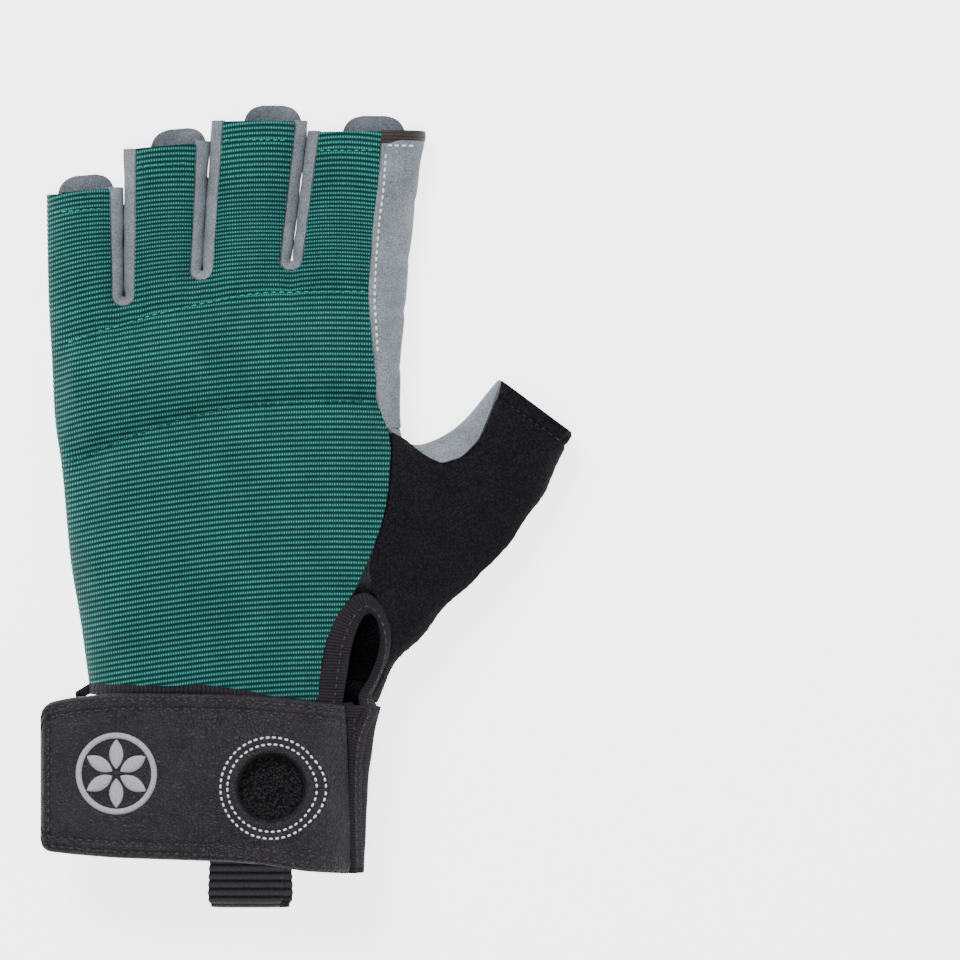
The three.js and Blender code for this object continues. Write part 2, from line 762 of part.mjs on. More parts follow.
function thumbBackPanel() {
  const tops = offsetLine(thumbSeamLine, 1.5 * seamGap);
  const grid = blackRows().map(({ edge, under }, index) => {
    const top = tops[index];
    const down = under.clone().addScaledVector(edge.clone().sub(under).normalize(), seamGap);
    const back = fromEdge(edge, top, 1, 7).reverse();
    const front = fromEdge(edge, down, -1, 5);
    return [...back.map(onBack), onBack(edge), ...front.map(onPalm)];
  });
  return piece('thumb_back_panel', sheet(grid, knitWall), colours.black, 0.95);
}

// Rows of the thumb's front: the black panel's row below and above, and the inner edge between them
const thumbFrontRows = [
  { under: 5, over: 9, inner: 0 },
  { under: 7, over: 9.5, inner: 0.6 },
  { under: 9, over: 10, inner: 1.4 },
  { under: 10, over: 10.6, inner: 2.3 },
  { under: 11, over: 11, inner: 3.1 },
  { under: 12, over: 12, inner: 4 },
  { under: 13, over: 13, inner: 5 },
  { under: 14, over: 14, inner: 6 },
];

function between(points, place) {
  const first = Math.min(Math.floor(place), points.length - 2);
  return mix(points[first], points[first + 1], place - first);
}

// Right edge of the palm beside the crotch and the index finger, where the sides turn under
const palmSide = (y) => radialEdge(y) - fourchetteReveal - suedeWall;
const crotchCorner = handPoint(radialTable[radialTable.length - 1]);
const cornerSeamRow = 8;

// Rows of the suede between the lower end of the index side and the crotch
function crotchRows() {
  const start = overlayTable[0].up * backLength - seamGap;
  const end = thumbSeamLine[cornerSeamRow].y + 2 * seamGap;
  return [
    {
      edge: point2(radialEdge(start), start),
      high: point2(backEdge(start) + seamGap / 2, start),
      low: point2(palmSide(start), start),
    },
    {
      edge: crotchCorner,
      high: point2(backEdge(end) + seamGap / 2, end),
      low: point2(palmSide(crotchCorner.y), crotchCorner.y),
    },
  ];
}

function thumbFrontPanel() {
  const rows = blackRows();
  const unders = rows.map((row) => row.under);
  const overs = offsetLine(thumbSeamLine, -2.2 * seamGap);
  const inners = thumbInnerTable.map(thumbPoint);
  const thumbRows = thumbFrontRows.map(({ under, over, inner }) => {
    return { edge: between(inners, inner), low: between(unders, under), high: between(overs, over) };
  });
  const grid = [...crotchRows(), ...thumbRows].map(({ edge, low, high }) => {
    low.addScaledVector(edge.clone().sub(low).normalize(), seamGap);
    const front = fromEdge(edge, low, -1, 6).reverse();
    const back = fromEdge(edge, high, 1, 3);
    return [...front.map(onPalm), onBack(edge), ...back.map(onBack)];
  });
  return piece('thumb_front_panel', sheet(grid, suedeWall), colours.suede, 0.9);
}

// Right edge of the palm panel: along the black panel's edge underneath, then past the crotch
function palmRight(y) {
  if (y >= crotchCorner.y) return palmSide(y) - 2.5 * seamGap;
  const line = blackRows().slice(0, 6).map((row) => row.under);
  line.push(point2(palmSide(crotchCorner.y), crotchCorner.y));
  return lookUp(line, 'y', y, 'x') - 2.5 * seamGap;
}

function palmPanel() {
  const { grid, mask } = handGrid({
    rows: palmRows,
    curveAt: palmCurve,
    rightEdge: palmRight,
    surface: palmSkin,
    turns: palmTurns,
    side: -1,
    reveal: fourchetteReveal + seamGap,
    short: frontShort,
  });
  return piece('palm_panel', sheet(grid, suedeWall, mask), colours.suede, 0.9);
}

// Places across the strip between two fingers, in shares of its reveal: side is 1 on the back
const fourchetteTable = [
  { away: 1, side: 1 },
  { away: 0.42, side: 1 },
  { away: 0, side: 1 },
  { away: 0.28, side: -1 },
  { away: 1, side: -1 },
];

// Suede strip round a slot, from the edge of the back to the edge of the front
function fourchette(slot, index) {
  const ends = [fingerTable[index], fingerTable[index + 1]].map((finger, step) => {
    const x = slot.tipAcross * handWidth;
    return fingerEnd(finger, index + step, x, 0) + seamGap;
  });
  const top = { left: ends[0], right: ends[1] };
  const width = fourchetteReveal - seamGap / 2;
  const lines = fourchetteTable.map(({ away, side }) =>
    slotPath(slot, away * width, top, 6, 6).map((point) => skin(point.x, point.y, side)),
  );
  return piece(`fourchette_${slot.name}`, sheet(lines, suedeWall), colours.suede, 0.9);
}

function indexSidePanel() {
  const end = backLength + indexLength - hemWidth - seamGap;
  const levels = overlayTable.slice(0, -1).map((row) => row.up * backLength);
  const grid = indexRows([...levels, end]);
  return piece('index_side_panel', sheet(grid, suedeWall), colours.suede, 0.9);
}

function indexRows(levels) {
  return levels.map((y) => {
    const edge = point2(radialEdge(y), y);
    const top = point2(backEdge(y) + seamGap / 2, y);
    const under = point2(lookUp(overlayTable, 'up', y / backLength, 'across') * handWidth, y);
    const back = fromEdge(edge, top, 1, 4).reverse();
    const front = fromEdge(edge, under, -1, 6);
    return [...back.map(onBack), onBack(edge), ...front.map(onPalm)];
  });
}

function indexHem() {
  const end = backLength + indexLength;
  const grid = indexRows([end - hemWidth, end - hemWidth / 2, end + seamGap]);
  return piece('index_hem', sheet(grid, suedeWall), colours.hem, 0.8);
}

// Half-round suede tab beyond the front of a finger
function tab(finger, index) {
  const rowsUp = [0, 0.25, 0.5, 0.7, 0.85, 0.95];
  const cells = 6;
  const grid = rowsUp.map((up) => {
    const half = (finger.tabWidth * handWidth * (1 - up ** 3) ** (1 / 3)) / 2;
    const row = [];
    for (let i = 0; i <= cells; i += 1) {
      const x = finger.tabAcross * handWidth + half * (2 * (i / cells) - 1);
      const y = fingerEnd(finger, index, x, frontShort) + seamGap + tabLength * up;
      row.push({ point: new THREE.Vector3(x, y, 0), normal: new THREE.Vector3(0, 0, -1) });
    }
    return row;
  });
  return piece(`tab_${finger.name}`, sheet(grid, suedeWall), colours.tab, 0.9);
}

// Stations round the wrist, from the slit over the radial side, the palm and the ulnar side to the slit
function wristStations(y) {
  const right = lookUp(wristOuterTable, 'up', y / backLength, 'across') * handWidth;
  const left = ulnarEdge(y);
  const up = y / backLength;
  const slitEdge = lookUp(ventTable.slice(5), 'innerUp', up, 'outerAcross') * handWidth;
  const slitRight = Math.min(slitEdge, right - cuffWall);
  const slitLeft = lookUp(ventTable.slice(0, 5), 'innerUp', up, 'innerAcross') * handWidth - ventClearance;
  const middle = point2((left + right) / 2, y);
  const radial = fromEdge(point2(right, y), point2(slitRight, y), 1, 3).reverse();
  const radialUnder = fromEdge(point2(right, y), middle, -1, 8);
  const ulnarUnder = fromEdge(point2(left, y), middle, -1, 8).reverse();
  const ulnar = fromEdge(point2(left, y), point2(slitLeft, y), 1, 12);
  return [
    ...radial.map((point) => ({ point, side: 1 })),
    { point: point2(right, y), side: 1 },
    ...radialUnder.map((point) => ({ point, side: -1 })),
    ...ulnarUnder.slice(1).map((point) => ({ point, side: -1 })),
    { point: point2(left, y), side: 1 },
    ...ulnar.map((point) => ({ point, side: 1 })),
  ];
}

// Top edge of the elastic at each station: low on the back, higher on the palm
function cuffTop(x, side) {
  const back = lookUp(hemCurve, 'across', x / handWidth, 'up') * backLength - bindingWidth - 3 * seamGap;
  const palm = palmHem * backLength - bindingWidth - 3 * seamGap;
  const radialTop = thumbEdges[0].y - 3 * seamGap;
  const radial = THREE.MathUtils.smoothstep(x, 0.3 * handWidth, 0.36 * handWidth);
  if (side > 0) return THREE.MathUtils.lerp(back, radialTop, radial);
  const corner = blackRows()[0].under;
  if (x > corner.x) return THREE.MathUtils.mapLinear(x, thumbEdges[0].x, corner.x, radialTop, palm);
  const inner = THREE.MathUtils.smoothstep(x, -0.4 * handWidth, -0.3 * handWidth);
  return THREE.MathUtils.lerp(back, palm, inner);
}

function cuffElastic() {
  const shares = [0, 0.35, 0.7, 1];
  const base = wristStations(-cuffLength);
  const grid = shares.map((share) =>
    base.map(({ side }, index) => {
      let y = THREE.MathUtils.lerp(-cuffLength, 0, share);
      for (let pass = 0; pass < 4; pass += 1) {
        const x = wristStations(y)[index].point.x;
        y = THREE.MathUtils.lerp(-cuffLength, cuffTop(x, side), share);
      }
      const { point } = wristStations(y)[index];
      return skin(point.x, point.y, side);
    }),
  );
  return piece('cuff_elastic', sheet(grid, cuffWall), colours.black, 0.9);
}

const hemInsetShare = 0.35;
const palmHemTurn = 70;

// Binding along the lower edge of the back, above the strap
function backHemBinding() {
  const cells = 14;
  const rows = [0, 0.5, 1].map((share) => {
    const row = [];
    for (let i = 0; i <= cells; i += 1) {
      const left = ulnarEdge(0);
      const right = lookUp(ventTable, 'outerUp', 0, 'outerAcross') * handWidth - seamGap;
      const inset = turnInset(left, 0, 1, 90) * hemInsetShare;
      const x = THREE.MathUtils.lerp(left + inset, right, i / cells);
      const top = lookUp(hemCurve, 'across', x / handWidth, 'up') * backLength - seamGap;
      row.push(skin(x, top - bindingWidth * (1 - share), 1));
    }
    return row;
  });
  return piece('back_hem_binding', sheet(rows, bindingWall), colours.black, 0.9);
}

function palmHemBinding() {
  const cells = 14;
  const rows = [0, 0.5, 1].map((share) => {
    const row = [];
    const top = palmHem * backLength - seamGap;
    const left = ulnarEdge(top) + turnInset(0, top, -1, palmHemTurn);
    const right = palmRight(top + 1) - 2 * seamGap;
    for (let i = 0; i <= cells; i += 1) {
      const x = THREE.MathUtils.lerp(left, right, i / cells);
      row.push(skin(x, top - bindingWidth * (1 - share), -1));
    }
    return row;
  });
  return piece('palm_hem_binding', sheet(rows, bindingWall), colours.black, 0.9);
}

function ventBinding() {
  const grid = ventTable.map((row) => {
    const outer = point2(row.outerAcross * handWidth, row.outerUp * backLength);
    const inner = point2(row.innerAcross * handWidth, row.innerUp * backLength);
    const start = outer.clone().addScaledVector(inner.clone().sub(outer).normalize(), seamGap);
    return [0, 0.33, 0.67, 1].map((share) => onBack(mix(start, inner, share)));
  });
  return piece('vent_binding', sheet(grid, bindingWall), colours.black, 0.9);
}

// Height of the strap's underside over the cuff: it follows the cuff on the radial side and reaches
// straight past it on the ulnar side
function strapSeat(x, y, lift) {
  if (x > 0) {
    const spot = skin(x, y, 1);
    return { point: spot.point.addScaledVector(spot.normal, lift), normal: spot.normal };
  }
  return { point: new THREE.Vector3(x, y, topHeight(x, y) + lift), normal: new THREE.Vector3(0, 0, 1) };
}

function strapPlace(along, up) {
  const x = strapRight * handWidth - strapLength * (1 - along);
  const low = lookUp(strapTable, 'along', along, 'low');
  const high = lookUp(strapTable, 'along', along, 'high');
  return point2(x, strapBase * backLength + strapWidth * THREE.MathUtils.lerp(low, high, up));
}

const strapAlongs = [0, 0.035, 0.1, 0.2, 0.3, 0.4, 0.5, 0.58, 0.66, 0.74, 0.82, 0.88, 0.94, 1];

const holeSides = 28;

function cuffStrap() {
  const ups = [0, 0.25, 0.5, 0.75, 1];
  const lift = 2 * seamGap + loopPatchWall + strapWall;
  const grid = ups.map((up) =>
    strapAlongs.map((along) => {
      const place = strapPlace(along, up);
      return strapSeat(place.x, place.y, lift);
    }),
  );
  const band = toSolid(sheet(grid, strapWall));
  const hole = strapPlace(clipAlong, clipUp);
  const drill = new THREE.CylinderGeometry(clipHole / 2, clipHole / 2, 4 * handHeight, holeSides);
  drill.rotateX(Math.PI / 2);
  drill.translate(hole.x, hole.y, 0);
  return piece('cuff_strap', fromSolid(band.subtract(toSolid(drill))), colours.leather, 0.55);
}

const patchUps = [0.12, 0.5, 0.88];
const patchAlongs = strapAlongs.slice(4, -1);

function loopPatch() {
  const rows = patchUps.map((up) =>
    patchAlongs.map((along) => {
      const place = strapPlace(along, up);
      return strapSeat(place.x, place.y, seamGap + loopPatchWall);
    }),
  );
  return piece('loop_patch', sheet(rows, loopPatchWall), colours.black, 1);
}

function strapAnchor() {
  const lift = 2 * seamGap + loopPatchWall + anchorWall;
  const grid = [0, 0.33, 0.67, 1].map((up) => {
    const { x, y } = strapPlace(1, up);
    const outer = lookUp(wristOuterTable, 'up', y / backLength, 'across') * handWidth - anchorWall;
    return [0, 0.5, 1].map((share) => strapSeat(THREE.MathUtils.lerp(x + seamGap, outer, share), y, lift));
  });
  return piece('strap_anchor', sheet(grid, anchorWall), colours.black, 0.9);
}

// A flat tape sewn under the cuff and folded back over its lower edge into a loop
function foldedTape(name, centre, width, wall, reach, sewn) {
  const fold = 3 * wall;
  const low = -cuffLength - reach;
  const back = -cuffLength - seamGap - loopClearance;
  const profile = new THREE.Shape();
  profile.moveTo(-sewn, 0);
  profile.lineTo(low + fold / 2, 0);
  profile.absarc(low + fold / 2, fold / 2, fold / 2, -Math.PI / 2, Math.PI / 2, true);
  profile.lineTo(back, fold);
  profile.lineTo(back, fold - wall);
  profile.lineTo(low + fold / 2, fold - wall);
  profile.absarc(low + fold / 2, fold / 2, fold / 2 - wall, Math.PI / 2, -Math.PI / 2, false);
  profile.lineTo(-sewn, wall);
  profile.closePath();
  const settings = { depth: width, bevelEnabled: false, curveSegments: 6 };
  const geometry = new THREE.ExtrudeGeometry(profile, settings);
  const upright = new THREE.Matrix4().makeBasis(
    new THREE.Vector3(0, 1, 0),
    new THREE.Vector3(0, 0, 1),
    new THREE.Vector3(1, 0, 0),
  );
  geometry.applyMatrix4(upright);
  geometry.translate(centre - width / 2, 0, 0);
  return piece(name, compact(geometry), colours.webbing, 0.8);
}

// Places of the three loops under the cuff
const loopAcross = 0.066;
const loopSpacing = 0.022;
const ulnarLoopShift = 0.05;
const sewnShare = 0.75;

function pullLoops() {
  const centre = loopAcross * handWidth;
  const side = webbingWidth / 2 + loopSpacing * handWidth;
  return [
    foldedTape('pull_loop', centre, webbingWidth, webbingWall, webbingReach, 0),
    foldedTape(
      'small_loop_ulnar', centre - side - ulnarLoopShift * handWidth - ulnarTapeWidth / 2,
      ulnarTapeWidth, tapeWall, tapeReach, cuffLength * sewnShare,
    ),
    foldedTape(
      'small_loop_radial', centre + side + radialTapeWidth / 2,
      radialTapeWidth, tapeWall, tapeReach, cuffLength * sewnShare,
    ),
  ];
}

const glove = new THREE.Group();
glove.add(backPanel());
glove.add(palmPanel());
glove.add(thumbBackPanel());
glove.add(thumbFrontPanel());
glove.add(indexSidePanel());
glove.add(indexHem());
slotTable.forEach((slot, index) => glove.add(fourchette(slot, index)));
fingerTable.forEach((finger, index) => glove.add(tab(finger, index)));
glove.add(backHemBinding());
glove.add(palmHemBinding());
glove.add(ventBinding());
glove.add(cuffElastic());
glove.add(loopPatch());
glove.add(cuffStrap());
glove.add(strapAnchor());
pullLoops().forEach((loop) => glove.add(loop));

// The origin is under the middle of the glove, on the surface that it lies on
const box = new THREE.Box3().setFromObject(glove);
const middle = box.getCenter(new THREE.Vector3());
glove.position.set(-middle.x, -middle.y, -box.min.z);

export default glove;
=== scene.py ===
# Looks of a left-hand half-finger climbing glove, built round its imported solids.
# Plan sizes are millimetres in the glove's own plan: x towards the thumb, y towards the fingertips from the
# lower edge of the back, z up from the surface that the glove lies on. They become metres in make_mesh.

import math

import bpy
import numpy as np
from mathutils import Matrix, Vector


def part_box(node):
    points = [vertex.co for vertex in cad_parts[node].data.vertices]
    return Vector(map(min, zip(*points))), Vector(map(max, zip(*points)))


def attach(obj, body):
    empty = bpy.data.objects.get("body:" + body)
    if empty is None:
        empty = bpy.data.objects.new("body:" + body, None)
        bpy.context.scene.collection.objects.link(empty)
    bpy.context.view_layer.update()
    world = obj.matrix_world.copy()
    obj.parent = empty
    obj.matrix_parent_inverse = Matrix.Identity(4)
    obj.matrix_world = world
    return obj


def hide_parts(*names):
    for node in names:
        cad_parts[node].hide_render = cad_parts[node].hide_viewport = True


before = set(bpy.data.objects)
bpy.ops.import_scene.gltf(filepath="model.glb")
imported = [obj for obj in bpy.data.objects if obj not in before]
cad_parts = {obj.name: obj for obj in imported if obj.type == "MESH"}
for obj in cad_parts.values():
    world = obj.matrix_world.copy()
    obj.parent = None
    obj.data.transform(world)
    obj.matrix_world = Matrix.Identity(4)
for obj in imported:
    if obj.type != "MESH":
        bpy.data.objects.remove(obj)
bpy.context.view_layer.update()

MM = 0.001

# Driving dimensions, as in the solids
HAND_WIDTH = 91.0
BACK_LENGTH = 110.0
HAND_HEIGHT = 27.0
THUMB_LENGTH = 60.0
THUMB_WIDTH = 22.0
THUMB_HEIGHT = 16.0
THUMB_SPREAD = math.radians(35.5)
BACK_WALL = 1.5
SUEDE_WALL = 1.1
KNIT_WALL = 1.5
SEAM_GAP = 0.35
REVEAL = 2.3
SLOT_GAP = 0.35
FRONT_SHORT = 3.5
TAB_LENGTH = 8.0
HEM_WIDTH = 3.0
BINDING_WIDTH = 2.4
BINDING_WALL = 1.7
CUFF_LENGTH = 32.0
CUFF_WALL = 1.6
LOOP_PATCH_WALL = 1.1
STRAP_LENGTH = 77.5
STRAP_WIDTH = 42.0
STRAP_WALL = 2.4
CLIP_HOLE = 16.5
ANCHOR_WALL = 1.8
WEBBING_WIDTH = 19.5
WEBBING_WALL = 1.4
WEBBING_REACH = 25.5
TAPE_WALL = 0.9
TAPE_REACH = 8.3
ULNAR_TAPE = 8.0
RADIAL_TAPE = 11.0
QUILT_DEPTH = 1.1
QUILT_PUFF = 1.2
SEAM_SHARE = 0.46
UNDER_ROUND = 0.62
THUMB_ROUND = THUMB_WIDTH * 0.46
CROWN = 0.2
PALM_HEM = 0.055
SEAM_TURN = 35.0

# Fabric sizes
RIB_PITCH = 1.35
RIB_HEIGHT = 0.14
CELL_PITCH = 0.62
WEB_PITCH = 2.1
TAPE_PITCH = 0.9
THREAD_PITCH = 0.45
STITCH_WIDTH = 0.5


def table(names, *rows):
    """Columns by name, from rows of numbers."""
    return {name: np.array(column, float) for name, column in zip(names.split(), zip(*rows))}


# Steps of an average over a short stretch, and the stretches of the tables
BLUR_STEPS = (-1.0, -0.5, 0.0, 0.5, 1.0)
HEIGHT_BLUR = 0.06
QUILT_BLUR = 0.06
EDGE_BLUR = 0.025
HEM_BLUR = 0.04
PANEL_BLUR = 0.02
OVERLAY_BLUR = 0.015

# Rounds in which a grid's heights and places settle on each other
SETTLE_ROUNDS = 5


def look(rows, key, value, column, blur=0.0):
    """Interpolates a column of a table, averaged over a short stretch so that no row shows as a kink."""
    order = np.argsort(rows[key])
    keys = rows[key][order]
    values = rows[column][order]
    total = sum(np.interp(value + blur * step, keys, values) for step in BLUR_STEPS)
    return total / len(BLUR_STEPS)


def smoothstep(value, low, high):
    share = np.clip((value - low) / (high - low), 0, 1)
    return share * share * (3 - 2 * share)


def lerp(start, end, share):
    return start + (end - start) * share


def hump(away, width):
    """One at no distance, falling to almost nothing at twice the width."""
    return np.exp(-((away / width) ** 2))


def pair(x, y):
    """Plan points from their two coordinates."""
    return np.stack([x, y], -1)


# Shares of the driving dimensions, as in the solids
HEIGHTS = table(
    "up height round crown",
    (-0.5, 0.98, 0.5, 1), (0, 1, 0.52, 1), (0.27, 0.97, 0.56, 0.8), (0.55, 0.87, 0.55, 0.7),
    (0.77, 0.73, 0.45, 0.5), (0.95, 0.57, 0.34, 0.2), (1.1, 0.51, 0.33, 0), (1.5, 0.46, 0.33, 0),
)
ULNAR = table(
    "up across",
    (-0.5, -0.33), (-0.29, -0.345), (-0.09, -0.378), (0.015, -0.392), (0.082, -0.403), (0.177, -0.419),
    (0.295, -0.445), (0.4, -0.457), (0.532, -0.471), (0.636, -0.493), (0.773, -0.5), (0.934, -0.514),
    (1.3, -0.52),
)
RADIAL = table(
    "up across",
    (1.42, 0.58), (1.3, 0.568), (1.253, 0.554), (1.182, 0.546), (1.111, 0.534), (1.04, 0.525),
    (0.969, 0.518), (0.898, 0.511), (0.827, 0.503), (0.755, 0.497), (0.685, 0.497), (0.614, 0.5),
    (0.591, 0.509),
)
THUMB_INNER = table(
    "along aside",
    (0.563, -0.872), (0.604, -0.769), (0.67, -0.661), (0.747, -0.587), (0.853, -0.571), (0.922, -0.549),
    (0.988, -0.532), (1.2, -0.5),
)
THUMB_OUTER = table(
    "along aside",
    (1.2, 0.46), (0.996, 0.502), (0.968, 0.532), (0.934, 0.568), (0.847, 0.629), (0.755, 0.669),
    (0.678, 0.679), (0.616, 0.683), (0.529, 0.702), (0.444, 0.716), (0.312, 0.682), (0.143, 0.559),
)
WRIST_OUTER = table(
    "up across",
    (0.173, 0.599), (0.117, 0.545), (0.047, 0.47), (-0.017, 0.438), (-0.071, 0.418), (-0.165, 0.4),
    (-0.307, 0.389), (-0.5, 0.38),
)
SLOTS = table(
    "up across tip_up tip_across tip_gap",
    (0.934, -0.2945, 1.36, -0.298, 1.1), (0.995, -0.0703, 1.42, -0.0412, 0.8),
    (1.018, 0.1863, 1.42, 0.2445, 0.7),
)
SLOT_NAMES = ("little_ring", "ring_middle", "middle_index")
FINGERS = table(
    "length slant tab_across tab_width",
    (19, 0.08, -0.409, 0.166), (30.6, 0.09, -0.143, 0.165), (38, 0, 0.129, 0.171), (35.3, 0, 0.42, 0.185),
)
FINGER_NAMES = ("little", "ring", "middle", "index")
BACK_EDGE = table(
    "up across",
    (1.36, 0.45), (1.32, 0.448), (1.182, 0.437), (1.11, 0.425), (1.04, 0.418), (0.945, 0.411),
    (0.875, 0.414), (0.804, 0.42), (0.745, 0.429), (0.685, 0.44), (0.591, 0.475), (0.579, 0.475),
    (0.496, 0.471), (0.437, 0.463), (0.366, 0.44), (0.295, 0.405), (0.228, 0.372), (0.182, 0.323),
    (0.11, 0.289), (0.036, 0.275), (-0.05, 0.268),
)
HEM = table("across up", (-0.5, 0.012), (-0.05, 0.014), (0.3, -0.031))
LOWER_QUILT = table(
    "across up", (-0.48, 0.525), (-0.275, 0.598), (-0.075, 0.652), (0.068, 0.674), (0.48, 0.687)
)
UPPER_QUILT = table(
    "across up",
    (-0.5, 0.806), (-0.389, 0.839), (-0.275, 0.872), (-0.075, 0.912), (0.097, 0.94), (0.45, 0.942),
)
VENT = table(
    "outer_across outer_up inner_across inner_up",
    (0.268, -0.029, 0.333, -0.033), (0.275, 0.036, 0.347, 0.036), (0.289, 0.11, 0.36, 0.106),
    (0.323, 0.182, 0.38, 0.156), (0.372, 0.226, 0.402, 0.184), (0.422, 0.227, 0.424, 0.182),
    (0.463, 0.173, 0.442, 0.15), (0.473, 0.114, 0.449, 0.1), (0.452, 0.046, 0.428, 0.036),
    (0.412, -0.016, 0.387, -0.014),
)
THUMB_SEAM = table(
    "up across wrap rise",
    (-0.016, 0.412, 0.8, 0.42), (0.046, 0.452, 0.68, 0.36), (0.114, 0.473, 0.69, 0.3),
    (0.173, 0.463, 0.68, 0.24), (0.227, 0.422, 0.73, 0.18), (0.295, 0.405, 0.64, 0),
    (0.366, 0.44, 0.55, 0), (0.455, 0.467, 0.5, 0), (0.545, 0.475, 0.48, 0), (0.567, 0.532, 0.45, 0),
    (0.532, 0.609, 0.43, 0), (0.548, 0.675, 0.4, 0), (0.591, 0.725, 0.36, 0), (0.666, 0.76, 0.33, 0),
    (0.733, 0.786, 0.32, 0),
)
RISEN_ROWS = 5
OVERLAY = table(
    "up across",
    (0.63, 0.154), (0.682, 0.112), (0.731, 0.1), (0.782, 0.119), (0.827, 0.176), (0.864, 0.27),
    (0.9, 0.352), (0.945, 0.418), (0.99, 0.455), (1.05, 0.495), (1.15, 0.512), (1.29, 0.532),
)
THUMB_FRONT = table(
    "under over inner",
    (5, 9, 0), (7, 9.5, 0.6), (9, 10, 1.4), (10, 10.6, 2.3), (11, 11, 3.1), (12, 12, 4), (13, 13, 5),
    (14, 14, 6),
)
STRAP = table(
    "along low high",
    (0, 0.03, 0.93), (0.05, 0.02, 0.95), (0.1, 0.01, 0.97), (0.25, -0.01, 1.0), (0.45, -0.02, 1.0),
    (0.62, -0.03, 0.995), (0.75, -0.05, 0.98), (0.88, -0.09, 0.96), (1, -0.11, 0.93),
)
STRAP_CORNERS = (2.8, 3.5)
STRAP_RIGHT = 0.33
STRAP_BASE = -0.385
CLIP_ALONG = 0.772
CLIP_UP = 0.463

# Slope of the ribs across the hand, in degrees up to the right
RIB_TILT = table(
    "x tilt", (-44, 15), (-38, 14), (-27, 10), (-17, 8.5), (-7, 7.5), (4, 5), (14, 3.5), (24, 1.2), (34, -1)
)


def hand_line(rows):
    return pair(rows["across"] * HAND_WIDTH, rows["up"] * BACK_LENGTH)


THUMB_AXIS = np.array([math.sin(THUMB_SPREAD), math.cos(THUMB_SPREAD)])
THUMB_SIDE = np.array([THUMB_AXIS[1], -THUMB_AXIS[0]])
THUMB_ROOT = np.array([0.5 * HAND_WIDTH, 0.229 * BACK_LENGTH])


def thumb_line(rows):
    along = rows["along"][:, None] * THUMB_LENGTH * THUMB_AXIS
    aside = rows["aside"][:, None] * THUMB_WIDTH * THUMB_SIDE
    return THUMB_ROOT + along + aside


def rounded(points, passes=2):
    """Cuts the corners of an open line and keeps its ends."""
    for _ in range(passes):
        near = 0.75 * points[:-1] + 0.25 * points[1:]
        far = 0.25 * points[:-1] + 0.75 * points[1:]
        middle = np.stack([near, far], 1).reshape(-1, 2)
        points = np.vstack([points[:1], middle, points[-1:]])
    return points


def slot_at(slot, y):
    bottom = SLOTS["up"][slot] * BACK_LENGTH
    top = SLOTS["tip_up"][slot] * BACK_LENGTH
    share = np.maximum(0, (y - bottom) / (top - bottom))
    centre = lerp(SLOTS["across"][slot], SLOTS["tip_across"][slot], share) * HAND_WIDTH
    return centre, lerp(SLOT_GAP, SLOTS["tip_gap"][slot], share)


def slot_path(slot, away, left_top, right_top, leg_steps, turn_steps):
    """Down one finger, round the bottom of the slot and up the next finger, away from the slot's faces."""
    bottom = SLOTS["up"][slot] * BACK_LENGTH
    y = lerp(left_top, bottom, np.arange(leg_steps) / leg_steps)
    centre, half = slot_at(slot, y)
    left = pair(centre - half - away, y)
    angle = math.pi * (1 + np.arange(turn_steps + 1) / turn_steps)
    reach = SLOT_GAP + away
    middle = SLOTS["across"][slot] * HAND_WIDTH
    turn = pair(middle + reach * np.cos(angle), bottom + reach * np.sin(angle))
    y = lerp(bottom, right_top, np.arange(1, leg_steps + 1) / leg_steps)
    centre, half = slot_at(slot, y)
    right = pair(centre + half + away, y)
    return np.vstack([left, turn, right])


def outline_lines():
    lines = [rounded(hand_line(ULNAR))]
    for slot in range(3):
        top = SLOTS["tip_up"][slot] * BACK_LENGTH
        lines.append(slot_path(slot, 0, top, top, 1, 8))
    lines.append(rounded(np.vstack([hand_line(RADIAL), thumb_line(THUMB_INNER)])))
    lines.append(rounded(np.vstack([thumb_line(THUMB_OUTER), hand_line(WRIST_OUTER)])))
    return lines


OUTLINE = outline_lines()
EDGE_START = np.vstack([line[:-1] for line in OUTLINE])
EDGE_VECTOR = np.vstack([line[1:] - line[:-1] for line in OUTLINE])
EDGE_SQUARE = (EDGE_VECTOR**2).sum(1)
EDGE_OUT = pair(-EDGE_VECTOR[:, 1], EDGE_VECTOR[:, 0]) / np.sqrt(EDGE_SQUARE)[:, None]
EDGE_CHUNK = 8000
ON_EDGE = 0.3


def nearest_edge(x, y):
    """Distance to the outline, direction out of the glove, and the nearest point of the outline."""
    points = pair(np.ravel(x), np.ravel(y)).astype(float)
    inset = np.empty(len(points))
    out = np.empty_like(points)
    nearest = np.empty_like(points)
    for start in range(0, len(points), EDGE_CHUNK):
        part = slice(start, start + EDGE_CHUNK)
        away = points[part, None] - EDGE_START
        share = np.clip((away * EDGE_VECTOR).sum(2) / EDGE_SQUARE, 0, 1)
        gap = away - share[..., None] * EDGE_VECTOR
        distance = np.hypot(gap[..., 0], gap[..., 1])
        best = distance.argmin(1)
        rows = np.arange(len(best))
        least = distance[rows, best]
        inset[part] = least
        nearest[part] = points[part] - gap[rows, best]
        inward = -gap[rows, best] / np.maximum(least, ON_EDGE)[:, None]
        out[part] = np.where((least > ON_EDGE)[:, None], inward, EDGE_OUT[best])
    shape = np.shape(x)
    return inset.reshape(shape), out.reshape(shape + (2,)), nearest.reshape(shape + (2,))


def snap(points):
    return nearest_edge(points[..., 0], points[..., 1])[2]


ULNAR_LINE = OUTLINE[0]
RADIAL_LINE = rounded(hand_line(RADIAL))[::-1]
WRIST_LINE = OUTLINE[5]


def ulnar_edge(y):
    return np.interp(y, ULNAR_LINE[:, 1], ULNAR_LINE[:, 0])


def radial_edge(y):
    """Index finger's side and the hand's side down to the crotch."""
    return np.interp(y, RADIAL_LINE[:, 1], RADIAL_LINE[:, 0])


